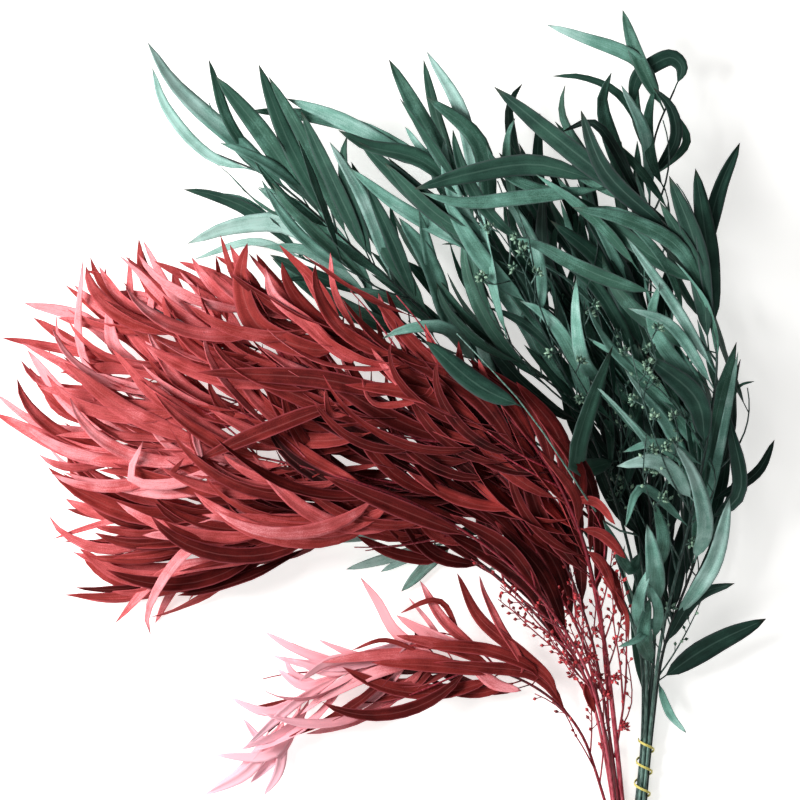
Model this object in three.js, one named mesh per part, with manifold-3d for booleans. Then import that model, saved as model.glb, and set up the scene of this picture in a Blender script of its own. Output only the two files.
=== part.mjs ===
// A bunch of dried eucalyptus, lying on a table: seven green stems and seven red ones, held by yellow ties.
// Millimetres, +Z up. The stems run along +Y from their cut ends, and the origin is on the table, under the
// middle of the bunch.
import * as THREE from "three";
import { mergeVertices } from "three/addons/utils/BufferGeometryUtils.js";
import Module from "manifold-3d";

const wasm = await Module();
wasm.setup();

// The cut ends, the tie round every stem and the yellow winding round the green ones.
const cutY = -355;
const tieY = -330;
const tie = { wide: 26.7, high: 13.3, wall: 1.2, along: 6, corner: 5.2 };
const bundleMiddle = { green: [205.5, 6.65], red: [193.5, 6.65] };
const winding = { from: -236, pitch: 18, turns: 3.5, stepsATurn: 10, radius: 6.9, thick: 1.4 };
const bundleTop = { y: -226, x: 214.4, z: 9.2 };

// Stems, leaves, twigs and flower buds.
const stemSides = 4;
const stemStep = 48;
const stemTip = 0.8;
const leafLength = { red: [105, 165], green: [95, 155] };
const leafWidth = [0.078, 0.108];
const leafWidest = 16;
const leafSweep = { red: [-0.1, 0.62], green: [-0.5, 0.5] };
const leafReach = 0.36;
const leafSpread = 0.42;
const leafRise = [-0.32, 0.22];
const leafRoll = 1.2;
const leafTwist = 0.8;
const ownRoll = 0.45;
const ownTwist = 0.4;
const tryRoll = 0.4;
const nearWood = 9;
const leafThick = 1;
const petiole = 0.125;
const rootThick = 0.5;
const twigLength = [62, 100];
const twigThick = 1;
const twigSpread = 0.75;
const twigTries = 6;
const lowestTwig = 8;
const twigLeaves = [0.97, 0.72];
const budLength = 7;
const umbelStalk = 9;
const umbelAhead = 0.4;
const budLean = 0.45;
const budThick = 3;
const clearance = 0.3;
const floorGap = 0.3;
const lowestTip = 0.6;
const lifts = [0, 7, -7, 14, -14, 22, -22, 32];

// Corners of a template nearer its axis than this lie on the axis.
const onAxis = 1e-4;

// A stem has its place in the ties, its thickness and the points it passes above the ties. Lean is the
// way its leaf tips are drawn, leafFrom the share of its length that is bare, and buds the shares where
// buds sit. A shoot is a side twig placed by hand. An own leaf has its width, the height of its tip and
// the places that it passes in plan, its tip last. A place with a third number has its own height.
const stems = [
  {
    name: "green_stem_1", dye: "green", outline: "green",
    slot: [-3.9, 0], thick: 1.75, lean: [-0.55, 0.83],
    leafFrom: 0.5, leaves: 5, twigs: 2, buds: [0.4],
    route: [
      [206, -152, 22], [174, -56, 34], [109, 32, 42], [37, 106, 50], [-31, 168, 54], [-91, 218, 48],
      [-135, 238, 40],
    ],
    ownLeaves: [
      [15, 66, [37, 106], [1, 166], [-26, 230]],
      [17, 62, [-67, 210], [-118, 246], [-168, 292], [-189, 326]],
      [10, 36, [-100, 226], [-140, 236], [-176, 276], [-187, 308]],
      [10, 64, [-92, 222], [-124, 262], [-140, 312]], [16, 70, [-59, 196], [-95, 250], [-134, 298]],
      [15, 66, [-36, 172], [-78, 250], [-100, 308]], [12, 70, [-28, 166], [-62, 245], [-92, 298]],
      [13, 74, [-10, 150], [-36, 205], [-66, 270]], [12, 78, [5, 136], [-14, 195], [-43, 245]],
      [12, 72, [30, 112], [8, 165], [-14, 212]], [16, 76, [55, 88], [35, 150], [12, 185]],
      [12, 80, [50, 94], [35, 160], [28, 190]],
      [12, 124, [75, 66, 90], [45, 98, 118], [14, 95, 124], [-1, 88, 124]],
    ],
  },
  {
    name: "green_stem_2", dye: "green", outline: "green",
    slot: [-1.95, -3.4], thick: 1.75, lean: [-0.95, 0.3],
    leafFrom: 0.45, leaves: 5, twigs: 2, buds: [],
    route: [
      [205, -152, 16], [166, -72, 18], [105, 8, 20], [41, 80, 22], [-23, 132, 24], [-79, 160, 20],
      [-115, 168, 16],
    ],
    shoots: [
      [[171, -84, 16], [110, -68, 9], [40, -78, 6]],
    ],
    ownLeaves: [
      [15, 16, [29, 88], [-34, 115], [-91, 155]], [10, 34, [-7, 120], [-28, 160], [-55, 196]],
      [12, 32, [-40, 140], [-78, 194], [-102, 211]],
      [16, 34, [-20, 132], [-75, 181], [-123, 180], [-159, 166]],
      [11, 38, [-18, 128], [-55, 140], [-92, 157]], [10, 36, [-8, 124], [-60, 160], [-98, 164]],
      [10, 62, [90, 40], [66, 108], [45, 118]], [9, 5, [40, -78], [13, -86], [-31, -98]],
      [11, 5, [58, -76], [37, -92], [14, -116]], [9, 12, [110, -70], [70, -66], [45, -76]],
    ],
  },
  {
    name: "green_stem_3", dye: "green", outline: "green",
    slot: [-1.95, 3.4], thick: 1.75, lean: [-0.5, 0.87],
    leafFrom: 0.48, leaves: 5, twigs: 3, buds: [0.5, 0.7],
    route: [
      [210, -144, 26], [186, -40, 44], [147, 56, 60], [105, 136, 70], [69, 196, 74], [45, 232, 70],
    ],
    ownLeaves: [
      [13, 84, [93, 156], [43, 187], [1, 228]],
      [12, 50, [50, 222], [-20, 258], [-75, 270], [-110, 272]],
      [14, 62, [52, 220], [10, 238], [-35, 264], [-78, 281]], [15, 76, [72, 192], [36, 252], [4, 311]],
      [12, 70, [80, 184], [62, 268], [34, 318]], [15, 80, [90, 170], [75, 245], [34, 281]],
      [16, 84, [72, 196], [30, 230], [-15, 242], [-36, 254]],
      [17, 82, [100, 142], [30, 200], [-20, 245]], [12, 74, [96, 148], [15, 192], [-28, 225]],
      [14, 82, [118, 116], [80, 150], [46, 204]],
    ],
  },
  {
    name: "green_stem_4", dye: "green", outline: "green",
    slot: [1.95, -3.4], thick: 1.75, lean: [-0.35, 0.94],
    leafFrom: 0.42, leaves: 7, twigs: 3, buds: [0.42, 0.56],
    route: [
      [214, -148, 17], [202, -40, 26], [178, 52, 30], [150, 124, 32], [133, 180, 30], [123, 216, 26],
    ],
    shoots: [
      [[203, -70, 28], [176, -58, 76], [148, -20, 122], [109, 36, 132], [57, 92, 130]],
    ],
    ownLeaves: [
      [10, 30, [131, 184], [124, 228], [126, 272]], [11, 28, [141, 152], [121, 198], [93, 240]],
      [10, 34, [173, 64], [153, 107], [125, 144]], [13, 50, [145, 130], [112, 155], [96, 197]],
      [15, 56, [160, 96], [130, 150], [127, 209]],
      [12, 102, [178, 50], [157, 75, 90], [152, 105, 100], [152, 136]],
      [9, 60, [140, 150], [125, 125], [110, 108]],
      [17, 128, [190, -10], [150, -10, 110], [164, 46, 126], [179, 82]],
      [17, 134, [172, 60], [112, 34, 128], [76, 50, 134], [33, 86]],
      [10, 100, [204, -80], [195, -95, 70], [173, -55]],
    ],
  },
  {
    name: "green_stem_5", dye: "green", outline: "green",
    slot: [1.95, 3.4], thick: 1.75, lean: [-0.75, 0.66],
    leafFrom: 0.42, leaves: 5, twigs: 2, buds: [0.36, 0.46],
    route: [
      [224, -152, 32], [243, -64, 58], [258, 16, 80], [263, 84, 94], [246, 146, 102], [209, 190, 102],
      [170, 214, 94],
    ],
    ownLeaves: [
      [13, 110, [263, 84], [247, 143], [217, 196]], [17, 102, [212, 186], [150, 236], [87, 287]],
      [18, 106, [176, 212], [120, 226], [65, 218], [24, 206]],
      [12, 96, [180, 206], [110, 200], [60, 196], [30, 204]],
      [13, 100, [250, 138], [264, 205], [281, 243]], [18, 112, [262, 90], [254, 165], [245, 222]],
      [18, 116, [258, 80], [246, 160], [224, 216]],
      [13, 118, [256, 118], [232, 160], [190, 182], [148, 191]],
      [15, 110, [228, 168], [175, 220], [155, 268]], [9, 118, [264, 60], [225, 120], [190, 168]],
      [9, 116, [262, 50], [225, 100], [192, 112]], [12, 112, [255, 40], [212, 100], [217, 132]],
      [19, 104, [256, 0], [248, 40], [207, 75]], [14, 116, [248, -40], [215, -8, 108], [183, -12]],
      [9, 112, [252, -10], [215, 6, 104], [188, -1]],
    ],
  },
  {
    name: "green_stem_6", dye: "green", outline: "green",
    slot: [0, 0], thick: 1.75, lean: [-0.5, 0.85],
    leafFrom: 0.45, leaves: 5, twigs: 3, buds: [0.42, 0.56],
    route: [
      [219, -148, 25], [214, -40, 38], [211, 56, 48], [214, 136, 52], [213, 200, 50], [218, 252, 44],
      [234, 290, 36],
    ],
    ownLeaves: [
      [9, 0.6, [217, 232], [204, 271], [205, 312]],
      [12, 42, [224, 270], [206, 312], [160, 332], [131, 342]],
      [12, 42, [226, 274], [206, 312], [192, 354]],
      [14, 40, [236, 292], [240, 308], [232, 316], [218, 311], [204, 300], [199, 276]],
      [10, 56, [216, 214], [234, 250], [230, 274], [216, 290]],
      [15, 60, [214, 180], [184, 240], [174, 280], [182, 302]],
      [11, 58, [214, 196], [210, 250], [190, 292]], [16, 70, [212, 70], [178, 145], [133, 183]],
      [13, 66, [212, 90], [184, 155], [161, 187]], [11, 74, [212, 60], [165, 135], [125, 161]],
      [16, 96, [218, -130], [214, -90, 84], [208, -58]],
      [12, 92, [217, -100], [222, -70, 80], [214, -40]],
      [12, 80, [216, -160], [203, -124, 66], [213, -90]],
      [9, 74, [218, -156], [219, -125, 62], [211, -106]],
      [13, 66, [217, -176], [207, -150, 56], [212, -118]],
    ],
  },
  {
    name: "green_stem_7", dye: "green", outline: "green",
    slot: [3.9, 0], thick: 1.75, lean: [-0.4, 0.92],
    leafFrom: 0.3, leaves: 4, twigs: 1, buds: [0.5],
    route: [
      [227, -160, 22], [251, -88, 38], [266, -24, 48], [274, 24, 52], [279, 64, 50],
    ],
    ownLeaves: [
      [17, 82, [246, -100], [266, 30], [280, 86]], [14, 66, [258, -60], [285, -35], [275, 31]],
      [9, 44, [262, -42], [300, -18], [314, 8]], [15, 88, [236, -138], [262, -90], [274, -38]],
      [11, 54, [228, -158], [252, -118], [281, -107]], [19, 26, [226, -188], [262, -160], [309, -137]],
      [15, 104, [250, -92], [253, -55, 96], [243, -18, 102], [228, 7]],
    ],
  },
  {
    name: "red_stem_1", dye: "red", outline: "red",
    slot: [3.2, 0], thick: 2.5, lean: [-0.72, 0.69],
    leafFrom: 0.36, leaves: 5, twigs: 3, buds: [0.2, 0.27, 0.33],
    route: [
      [184, -204, 30], [173, -136, 62], [152, -56, 94], [110, 14, 114], [46, 62, 122], [-32, 94, 114],
      [-97, 112, 100],
    ],
    ownLeaves: [
      [10, 108, [-35, 88], [-51, 130], [-82, 162]],
      [18, 116, [-43, 80], [-98, 98], [-112, 135], [-107, 163]],
      [11, 122, [-23, 72], [-62, 102], [-86, 122], [-93, 144]],
      [15, 112, [13, 50], [-60, 58], [-147, 62]], [9, 128, [160, -60], [150, -35], [122, 0]],
      [9, 100, [158, -60], [172, -66], [191, -85]], [10, 80, [160, -76], [180, -100], [190, -132]],
      [14, 120, [150, -45], [138, 10], [104, 54]], [15, 124, [110, 0], [70, 45], [10, 75]],
      [14, 126, [90, 15], [40, 40], [-30, 52]], [12, 122, [60, 35], [15, 62], [-45, 105]],
      [13, 96, [172, -120], [170, -60], [144, -2]], [12, 106, [168, -90], [164, -30], [128, 28]],
      [14, 104, [160, -80], [142, -26], [92, 18]], [12, 116, [156, -60], [152, -14], [116, 34]],
      [14, 120, [140, -24], [118, 30], [66, 72]], [13, 124, [126, -4], [92, 42], [30, 82]],
    ],
  },
  {
    name: "red_stem_2", dye: "red", outline: "red",
    slot: [1.0, 3.65], thick: 1.45, lean: [-0.8, 0.6],
    leafFrom: 0.4, leaves: 7, twigs: 3, buds: [0.23, 0.33],
    route: [
      [178, -204, 27], [162, -136, 50], [130, -64, 78], [72, 0, 98], [-8, 44, 102], [-88, 76, 94],
      [-154, 100, 80], [-187, 114, 70],
    ],
    ownLeaves: [
      [9, 84, [-123, 88], [-143, 128], [-182, 150]], [10, 84, [-100, 84], [-147, 110], [-163, 118]],
      [10, 116, [-20, 44], [-67, 62], [-98, 82]], [14, 106, [-35, 34], [-91, 16], [-147, -8]],
      [15, 104, [20, 20], [-60, 40], [-140, 80]], [14, 84, [162, -130], [152, -72], [116, -18]],
      [13, 92, [150, -108], [130, -52], [84, -4]], [12, 90, [140, -88], [110, -38], [58, 2]],
      [14, 98, [124, -58], [88, -8], [32, 28]],
    ],
  },
  {
    name: "red_stem_3", dye: "red", outline: "red",
    slot: [-1.2, 0], thick: 1.45, lean: [-0.9, 0.45],
    leafFrom: 0.38, leaves: 7, twigs: 3, buds: [0.26],
    route: [
      [173.5, -204, 22], [153, -138, 40], [109, -77, 60], [38, -22, 76], [-42, 13, 78], [-130, 43, 68],
      [-203, 70, 54],
    ],
    ownLeaves: [
      [11, 36, [-203, 70], [-240, 105], [-290, 118]], [11, 52, [-171, 59], [-210, 94], [-262, 106]],
      [12, 60, [-147, 50], [-202, 65], [-259, 62]],
      [10, 62, [-175, 58], [-205, 100], [-222, 137], [-239, 144]],
      [11, 66, [-190, 60], [-214, 82], [-221, 114]], [13, 74, [-130, 36], [-178, 30], [-191, 44]],
      [12, 76, [-130, 46], [-195, 48], [-231, 62]], [9, 98, [-110, 42], [-148, 18], [-143, -12]],
      [9, 30, [172, -184], [164, -194], [170, -213]], [14, 70, [155, -140], [136, -90], [98, -42]],
      [13, 66, [140, -118], [112, -75], [68, -44]], [12, 76, [118, -88], [84, -50], [32, -28]],
    ],
  },
  {
    name: "red_stem_4", dye: "red", outline: "red",
    slot: [-2.6, 3.2], thick: 1.45, lean: [-0.97, 0.22],
    leafFrom: 0.38, leaves: 6, twigs: 3, buds: [0.24, 0.3],
    route: [
      [172, -204, 33], [147, -148, 66], [99, -90, 96], [29, -44, 106], [-51, -16, 100], [-138, 2, 82],
      [-208, 14, 62],
    ],
    ownLeaves: [
      [12, 70, [-163, 6], [-216, 36], [-275, 50]], [12, 80, [-123, -2], [-174, 30], [-234, 38]],
      [14, 70, [-99, -5], [-162, -19], [-227, -16]], [9, 62, [-180, 16], [-235, 56], [-290, 86]],
      [14, 64, [-170, 8], [-240, 30], [-285, 80]], [16, 70, [-130, 0], [-230, -4], [-312, 30]],
      [15, 90, [-135, 6], [-205, 32], [-253, 70]],
      [9, 94, [-110, -8], [-165, -26], [-200, -22], [-190, 8]],
      [14, 84, [-60, -18], [-140, -30], [-215, -10]], [13, 92, [150, -148], [126, -98], [88, -56]],
      [12, 98, [130, -124], [100, -78], [52, -50]],
    ],
  },
  {
    name: "red_stem_5", dye: "red", outline: "red",
    slot: [-3.0, -2.9], thick: 1.45, lean: [-0.99, 0.1],
    leafFrom: 0.4, leaves: 7, twigs: 2, buds: [0.3],
    route: [
      [169, -204, 17], [142, -146, 30], [93, -90, 42], [21, -58, 52], [-59, -43, 52], [-130, -45, 42],
      [-194, -52, 30],
    ],
    ownLeaves: [
      [12, 34, [-115, -44], [-163, -76], [-219, -88]],
      [16, 58, [-99, -46], [-190, -54], [-240, -36], [-269, -14]],
      [10, 62, [-140, -42], [-205, -36], [-239, -14]],
      [9, 96, [-90, -36], [-150, -36], [-170, -24], [-158, -6]],
      [10, 36, [-140, -52], [-218, -80], [-258, -68], [-270, -54]],
      [9, 56, [-100, -44], [-165, -88], [-190, -132], [-187, -148]],
      [12, 66, [-95, -46], [-155, -66], [-193, -68]], [9, 54, [70, -78], [40, -68], [19, -40]],
      [18, 60, [110, -100], [86, -74], [77, -32]], [13, 50, [145, -144], [116, -108], [80, -82]],
      [14, 54, [125, -118], [95, -92], [50, -66]],
    ],
  },
  {
    name: "red_stem_6", dye: "red", outline: "red",
    slot: [0.6, -3.6], thick: 1.45, lean: [-0.98, -0.15],
    leafFrom: 0.42, leaves: 5, twigs: 2, buds: [0.34],
    route: [
      [172, -204, 12], [134, -147, 18], [78, -92, 26], [10, -58, 28], [-62, -60, 26], [-126, -84, 18],
      [-172, -104, 12],
    ],
    ownLeaves: [
      [9, 0.6, [-172, -104], [-212, -121], [-254, -120]],
      [14, 30, [-140, -100], [-212, -102], [-246, -80]],
      [10, 20, [-130, -98], [-205, -118], [-259, -118]],
      [11, 34, [-95, -84], [-175, -100], [-217, -140]], [12, 50, [80, -94], [40, -84], [5, -42]],
      [10, 56, [85, -96], [42, -62], [41, -40]], [9, 44, [55, -84], [29, -80], [-3, -56]],
      [16, 40, [150, -158], [118, -105], [80, -60]], [11, 34, [150, -162], [122, -120], [95, -101]],
      [10, 38, [146, -160], [120, -112], [102, -110]],
    ],
  },
  {
    name: "red_stem_7", dye: "red", outline: "spray",
    slot: [-4.6, 0.2], thick: 1.45, lean: [-0.9, -0.35],
    leafFrom: 0.36, leaves: 2, twigs: 1, buds: [],
    route: [
      [172, -262, 10], [161, -233, 11], [142, -208, 14], [109, -186, 18], [54, -171, 22],
      [-2, -171, 20], [-53, -194, 14], [-94, -230, 10],
    ],
    ownLeaves: [
      [9, 4, [-67, -206], [-82, -243], [-109, -272]],
      [11, 34, [148, -207], [134, -186], [112, -166], [77, -136], [59, -100]],
      [11, 30, [152, -218], [125, -184], [80, -176], [40, -172]],
      [9, 32, [85, -170], [48, -138], [29, -106]],
      [11, 24, [50, -164], [10, -148], [-4, -124], [-19, -104]],
      [12, 30, [77, -168], [40, -150], [10, -134]], [9, 22, [-20, -172], [-60, -166], [-97, -148]],
      [9, 30, [0, -174], [-40, -170], [-69, -187]], [9, 12, [-62, -212], [-90, -247], [-138, -249]],
      [9, 8, [-75, -222], [-110, -262], [-147, -282]], [9, 6, [-76, -222], [-86, -262], [-98, -282]],
      [9, 12, [16, -176], [-18, -204], [-43, -218]], [14, 14, [45, -178], [15, -196], [-30, -206]],
      [11, 30, [70, -174], [90, -190], [111, -195]], [12, 34, [125, -182], [85, -163], [20, -158]],
      [12, 32, [100, -180], [50, -176], [-10, -172]], [11, 30, [70, -174], [10, -166], [-50, -172]],
      [10, 26, [40, -172], [-10, -182], [-55, -205]], [9, 22, [20, -172], [-30, -187], [-68, -215]],
      [10, 36, [90, -176], [52, -160], [10, -150]],
    ],
  },
];

// The outlines of the two colours and of the pink spray in plan: leaf tips stay inside them.
const outlines = {
  red: [
    [196, -95], [182, -50], [160, -12], [135, 30], [104, 54], [60, 90], [20, 112], [-40, 156],
    [-106, 156], [-130, 170], [-165, 150], [-194, 170], [-247, 150], [-296, 112], [-310, 92],
    [-314, 22], [-270, -16], [-268, -62], [-258, -122], [-190, -146], [-147, -122], [-98, -96],
    [-55, -76], [0, -64], [42, -52], [80, -90], [125, -136], [170, -190], [190, -150],
  ],
  spray: [
    [150, -230], [128, -196], [92, -128], [52, -140], [-6, -100], [-30, -110], [-34, -150],
    [-94, -146], [-130, -204], [-136, -250], [-150, -286], [-60, -290], [0, -220], [70, -210],
    [130, -238],
  ],
  green: [
    [282, 240], [266, 160], [282, 90], [290, 30], [314, 4], [286, -50], [272, -96], [310, -138],
    [246, -232], [224, -232], [200, -120], [170, -60], [130, 0], [60, 40], [0, 110], [-66, 126],
    [-160, 162], [-192, 262], [-190, 324], [-140, 308], [-98, 304], [-76, 284], [-36, 288], [4, 310],
    [36, 316], [84, 284], [132, 336], [192, 355], [240, 312], [252, 216],
  ],
};

// Materials: dyed dry leaf in two colours and the yellow band.
const paints = {
  green: () => new THREE.MeshStandardMaterial({ color: 0x2f5a48, roughness: 0.62, metalness: 0 }),
  red: () => new THREE.MeshStandardMaterial({ color: 0x9c3f3f, roughness: 0.66, metalness: 0 }),
  yellow: () => new THREE.MeshStandardMaterial({ color: 0xe3d65f, roughness: 0.5, metalness: 0 }),
};

// A repeatable draw between 0 and 1 for each whole number.
function draw(seed) {
  const wave = Math.sin(seed * 12.9898) * 43758.5453;
  return wave - Math.floor(wave);
}

const between = (low, high, share) => low + (high - low) * share;
const upright = new THREE.Vector3(0, 0, 1);
const turned = (heading, angle) => heading.clone().applyAxisAngle(upright, angle);
const point = (list) => new THREE.Vector3(list[0], list[1], list[2]);

// The level direction to the left of a heading, turned round it by an angle.
function aside(along, angle) {
  return new THREE.Vector3(-along.y, along.x, 0).normalize().applyAxisAngle(along, angle);
}

// The merged vertices and the triangles of a shape.
function bare(shape) {
  shape.deleteAttribute("normal");
  shape.deleteAttribute("uv");
  const merged = mergeVertices(shape, 1e-5);
  return { spots: merged.getAttribute("position").array, faces: new Uint32Array(merged.index.array) };
}

function solidOf(spots, faces) {
  return new wasm.Manifold(new wasm.Mesh({ numProp: 3, vertProperties: spots, triVerts: faces }));
}

// A closed unit bar or spike standing on Y. Crowd draws its rings to the root, and up to steady it stays
// straight.
function template(tipRadius, sides, steps, crowd = 1, steady = 0) {
  const form = bare(new THREE.CylinderGeometry(tipRadius, 1, 1, sides, steps));
  for (let i = 1; i < form.spots.length; i += 3) form.spots[i] = Math.max(form.spots[i] + 0.5, 0) ** crowd;
  return { ...form, steady };
}

// Lays a template along a path. Section gives, for a share of the path, the half width, the half depth and
// the turn of the cross-section.
function sweep(form, path, section) {
  const spots = new Float32Array(form.spots.length);
  for (let i = 0; i < spots.length; i += 3) {
    const share = form.spots[i + 1];
    const { half, deep, turn } = section(share);
    const along = path.getTangent(Math.max(share, form.steady));
    const side = new THREE.Vector3(along.y, -along.x, 0).normalize().applyAxisAngle(along, turn);
    const up = new THREE.Vector3().crossVectors(side, along);
    const radius = Math.hypot(form.spots[i], form.spots[i + 2]);
    const grow = radius < onAxis ? 0 : 1 / radius;
    path.getPoint(share)
      .addScaledVector(side, form.spots[i] * grow * half)
      .addScaledVector(up, form.spots[i + 2] * grow * deep)
      .toArray(spots, i);
  }
  return solidOf(spots, form.faces);
}

const twigForm = template(0, 3, 3, 1.2, 0.27);
const leafForm = template(0, 3, 4, 1.5, 0.125);
const shootForm = template(0, 3, 5, 1.2, 0.1);
const umbelForm = bare(new THREE.OctahedronGeometry(1, 1));

// A straight-sided path through points at even distances, so that leaf roots lie on the axis of the stem.
class Line extends THREE.Curve {
  constructor(points) {
    super();
    this.points = points;
  }

  getPoint(share) {
    const place = THREE.MathUtils.clamp(share, 0, 1) * (this.points.length - 1);
    const start = Math.min(Math.floor(place), this.points.length - 2);
    return this.points[start].clone().lerp(this.points[start + 1], place - start);
  }

  getTangent(share) {
    const last = this.points.length - 1;
    const place = Math.round(THREE.MathUtils.clamp(share, 0, 1) * last);
    const before = this.points[Math.max(place - 1, 0)];
    const after = this.points[Math.min(place + 1, last)];
    return after.clone().sub(before).normalize();
  }
}

// The whole way of a stem: straight through the tie, for a green stem on to the top of its winding, and then
// along its route in a smooth curve.
function stemLine(stem) {
  const [x, z] = bundleMiddle[stem.dye];
  const held = (middleX, y, middleZ) => new THREE.Vector3(middleX + stem.slot[0], y, middleZ + stem.slot[1]);
  const low = [cutY, tieY - tie.along, tieY + tie.along].map((y) => held(x, y, z));
  if (stem.dye === "green") low.push(held(bundleTop.x, bundleTop.y, bundleTop.z));
  const curve = new THREE.CatmullRomCurve3([...low.slice(-2), ...stem.route.map(point)]);
  const reach = curve.getLength();
  const skipped = low.at(-1).distanceTo(low.at(-2));
  const steps = Math.round((reach - skipped) / stemStep);
  const upper = (i) => curve.getPointAt(between(skipped / reach, 1, (i + 1) / steps));
  return new Line([...low, ...Array.from({ length: steps }, (_, i) => upper(i))]);
}

// A leaf from its root to its tip: out is the way it sets off and end the way its tip points.
function leaf(root, tip, out, end, wide, roll, twist) {
  const reach = root.distanceTo(tip) * leafReach;
  const setOff = root.clone().addScaledVector(out, reach);
  const arrive = tip.clone().addScaledVector(end, -reach);
  return blade(new THREE.CubicBezierCurve3(root, setOff, arrive, tip), wide, roll, twist);
}

// A leaf blade along a path: a narrow petiole, widest at a third, pointed at the tip.
function blade(path, wide, roll, twist) {
  return sweep(leafForm, path, (share) => {
    const grown = THREE.MathUtils.clamp((share - petiole) / (1 - petiole), 0, 1);
    const swell = grown ** 0.45 * (1 - grown) ** 0.85 * 2.31;
    const half = Math.max((wide / 2) * swell, rootThick);
    const deep = share === 0 ? rootThick : leafThick;
    return { half, deep, turn: roll + twist * Math.max(share - petiole, 0) };
  });
}

// Every solid that stands so far, with its box and its node, and whether leaves and buds grow from it.
const standing = [];

function isClear(solid, others) {
  const box = solid.boundingBox();
  const apart = (other, axis) => (
    box.min[axis] > other.box.max[axis] + clearance || box.max[axis] < other.box.min[axis] - clearance
  );
  return others.every((other) => (
    [0, 1, 2].some((axis) => apart(other, axis)) || solid.minGap(other.solid, clearance * 2) >= clearance
  ));
}

function keep(solid, node, carries) {
  standing.push({ solid, node, carries, box: solid.boundingBox() });
}

// Adds the first of the tries that stands clear of the table and of every leaf, or failing that, the first
// that crosses only leaves of its own stem.
function place(node, tries) {
  const raised = tries.map((build) => build()).filter((solid) => solid.boundingBox().min[2] >= floorGap);
  const strangers = standing.filter((other) => other.node !== node);
  const siblings = standing.filter((other) => other.node === node && !other.carries);
  const clear = raised.filter((solid) => isClear(solid, strangers));
  const best = clear.find((solid) => isClear(solid, siblings)) ?? clear[0];
  if (best) keep(best, node, false);
}

// Lifts and lowers the tip of a leaf and rolls it, until it stands clear.
function leafTries(root, tip, out, end, wide, roll, twist) {
  return lifts.map((lift, i) => () => {
    const raised = tip.clone().setZ(Math.max(tip.z + lift, lowestTip));
    return leaf(root, raised, out, end, wide, roll + i * tryRoll, twist);
  });
}

// The share of a path that is nearest in plan to a place.
function nearestShare(path, [x, y]) {
  const shares = Array.from({ length: 101 }, (_, i) => i / 100);
  const miss = (share) => Math.hypot(path.getPointAt(share).x - x, path.getPointAt(share).y - y);
  const misses = shares.map(miss);
  return shares[misses.indexOf(Math.min(...misses))];
}

// A leaf placed by hand. It grows from the nearest wood of its stem.
function ownLeaf(stem, woods, [wide, tipZ, ...places], seed) {
  const roots = woods.map((wood) => wood.getPointAt(nearestShare(wood, places[0])));
  const gaps = roots.map((root) => Math.hypot(root.x - places[0][0], root.y - places[0][1]));
  const nearest = Math.min(...gaps);
  const root = roots[gaps.indexOf(nearest)];
  const passed = nearest < nearWood ? places.slice(1) : places;
  const roll = between(-ownRoll, ownRoll, draw(seed));
  const twist = between(-ownTwist, ownTwist, draw(seed + 0.5));
  place(stem.name, lifts.map((lift, i) => () => {
    const spots = passed.map(([x, y, z], k) => {
      const share = (k + 1) / passed.length;
      const height = z ?? between(root.z, tipZ, share ** 0.7);
      return new THREE.Vector3(x, y, Math.max(height + lift * share, lowestTip));
    });
    const curve = new THREE.CatmullRomCurve3([root, ...spots]);
    curve.arcLengthDivisions = 40;
    const path = { getPoint: (s) => curve.getPointAt(s), getTangent: (s) => curve.getTangentAt(s) };
    return blade(path, wide, roll + i * tryRoll, twist);
  }));
}

// Whether a place lies inside an outline in plan.
function inside(spot, outline) {
  const crossed = outline.filter(([x0, y0], i) => {
    const [x1, y1] = outline[(i + 1) % outline.length];
    return (y0 > spot.y) !== (y1 > spot.y) && spot.x < x0 + ((x1 - x0) * (spot.y - y0)) / (y1 - y0);
  });
  return crossed.length % 2 === 1;
}

// A leaf by the rule: it sweeps round to the way the bunch leans and ends inside the bunch's outline.
function ruleLeaf(stem, line, share, side, seed) {
  const root = line.getPointAt(share);
  const lean = new THREE.Vector3(stem.lean[0], stem.lean[1], 0).normalize();
  const drawn = between(0.5, 1.5, draw(seed + 0.1));
  const ahead = line.getTangentAt(share).addScaledVector(lean, drawn).normalize();
  const heading = turned(ahead, side * between(0, leafSpread, draw(seed + 0.2)));
  heading.setZ(between(...leafRise, draw(seed + 0.3))).normalize();
  const bend = between(...leafSweep[stem.dye], draw(seed + 0.4));
  const length = between(...leafLength[stem.dye], draw(seed + 0.5)) * between(1.05, 0.8, share);
  const tips = [1, 0.86, 0.72].map((part) => root.clone().addScaledVector(heading, length * part));
  const tip = tips.find((spot) => inside(spot, outlines[stem.outline]));
  if (!tip) return;
  tip.z = Math.max(tip.z, 2);
  const wide = Math.min(length * between(...leafWidth, draw(seed + 0.6)), leafWidest);
  const roll = between(-leafRoll, leafRoll, draw(seed + 0.7));
  const twist = between(-leafTwist, leafTwist, draw(seed + 0.8));
  const out = turned(heading, bend);
  const end = turned(heading, -bend);
  place(stem.name, leafTries(root, tip, out, end, wide, roll, twist));
}

// A side shoot placed by hand, a twig that starts on its stem.
function shoot(stem, line, [first, ...rest]) {
  const root = line.getPointAt(nearestShare(line, first));
  const curve = new THREE.CatmullRomCurve3([root, ...rest.map(point)]);
  const thick = (s) => (s === 0 ? rootThick : between(twigThick, rootThick, s));
  const solid = sweep(shootForm, curve, (s) => ({ half: thick(s), deep: thick(s), turn: 0 }));
  keep(solid, stem.name, true);
  return curve;
}

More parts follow.
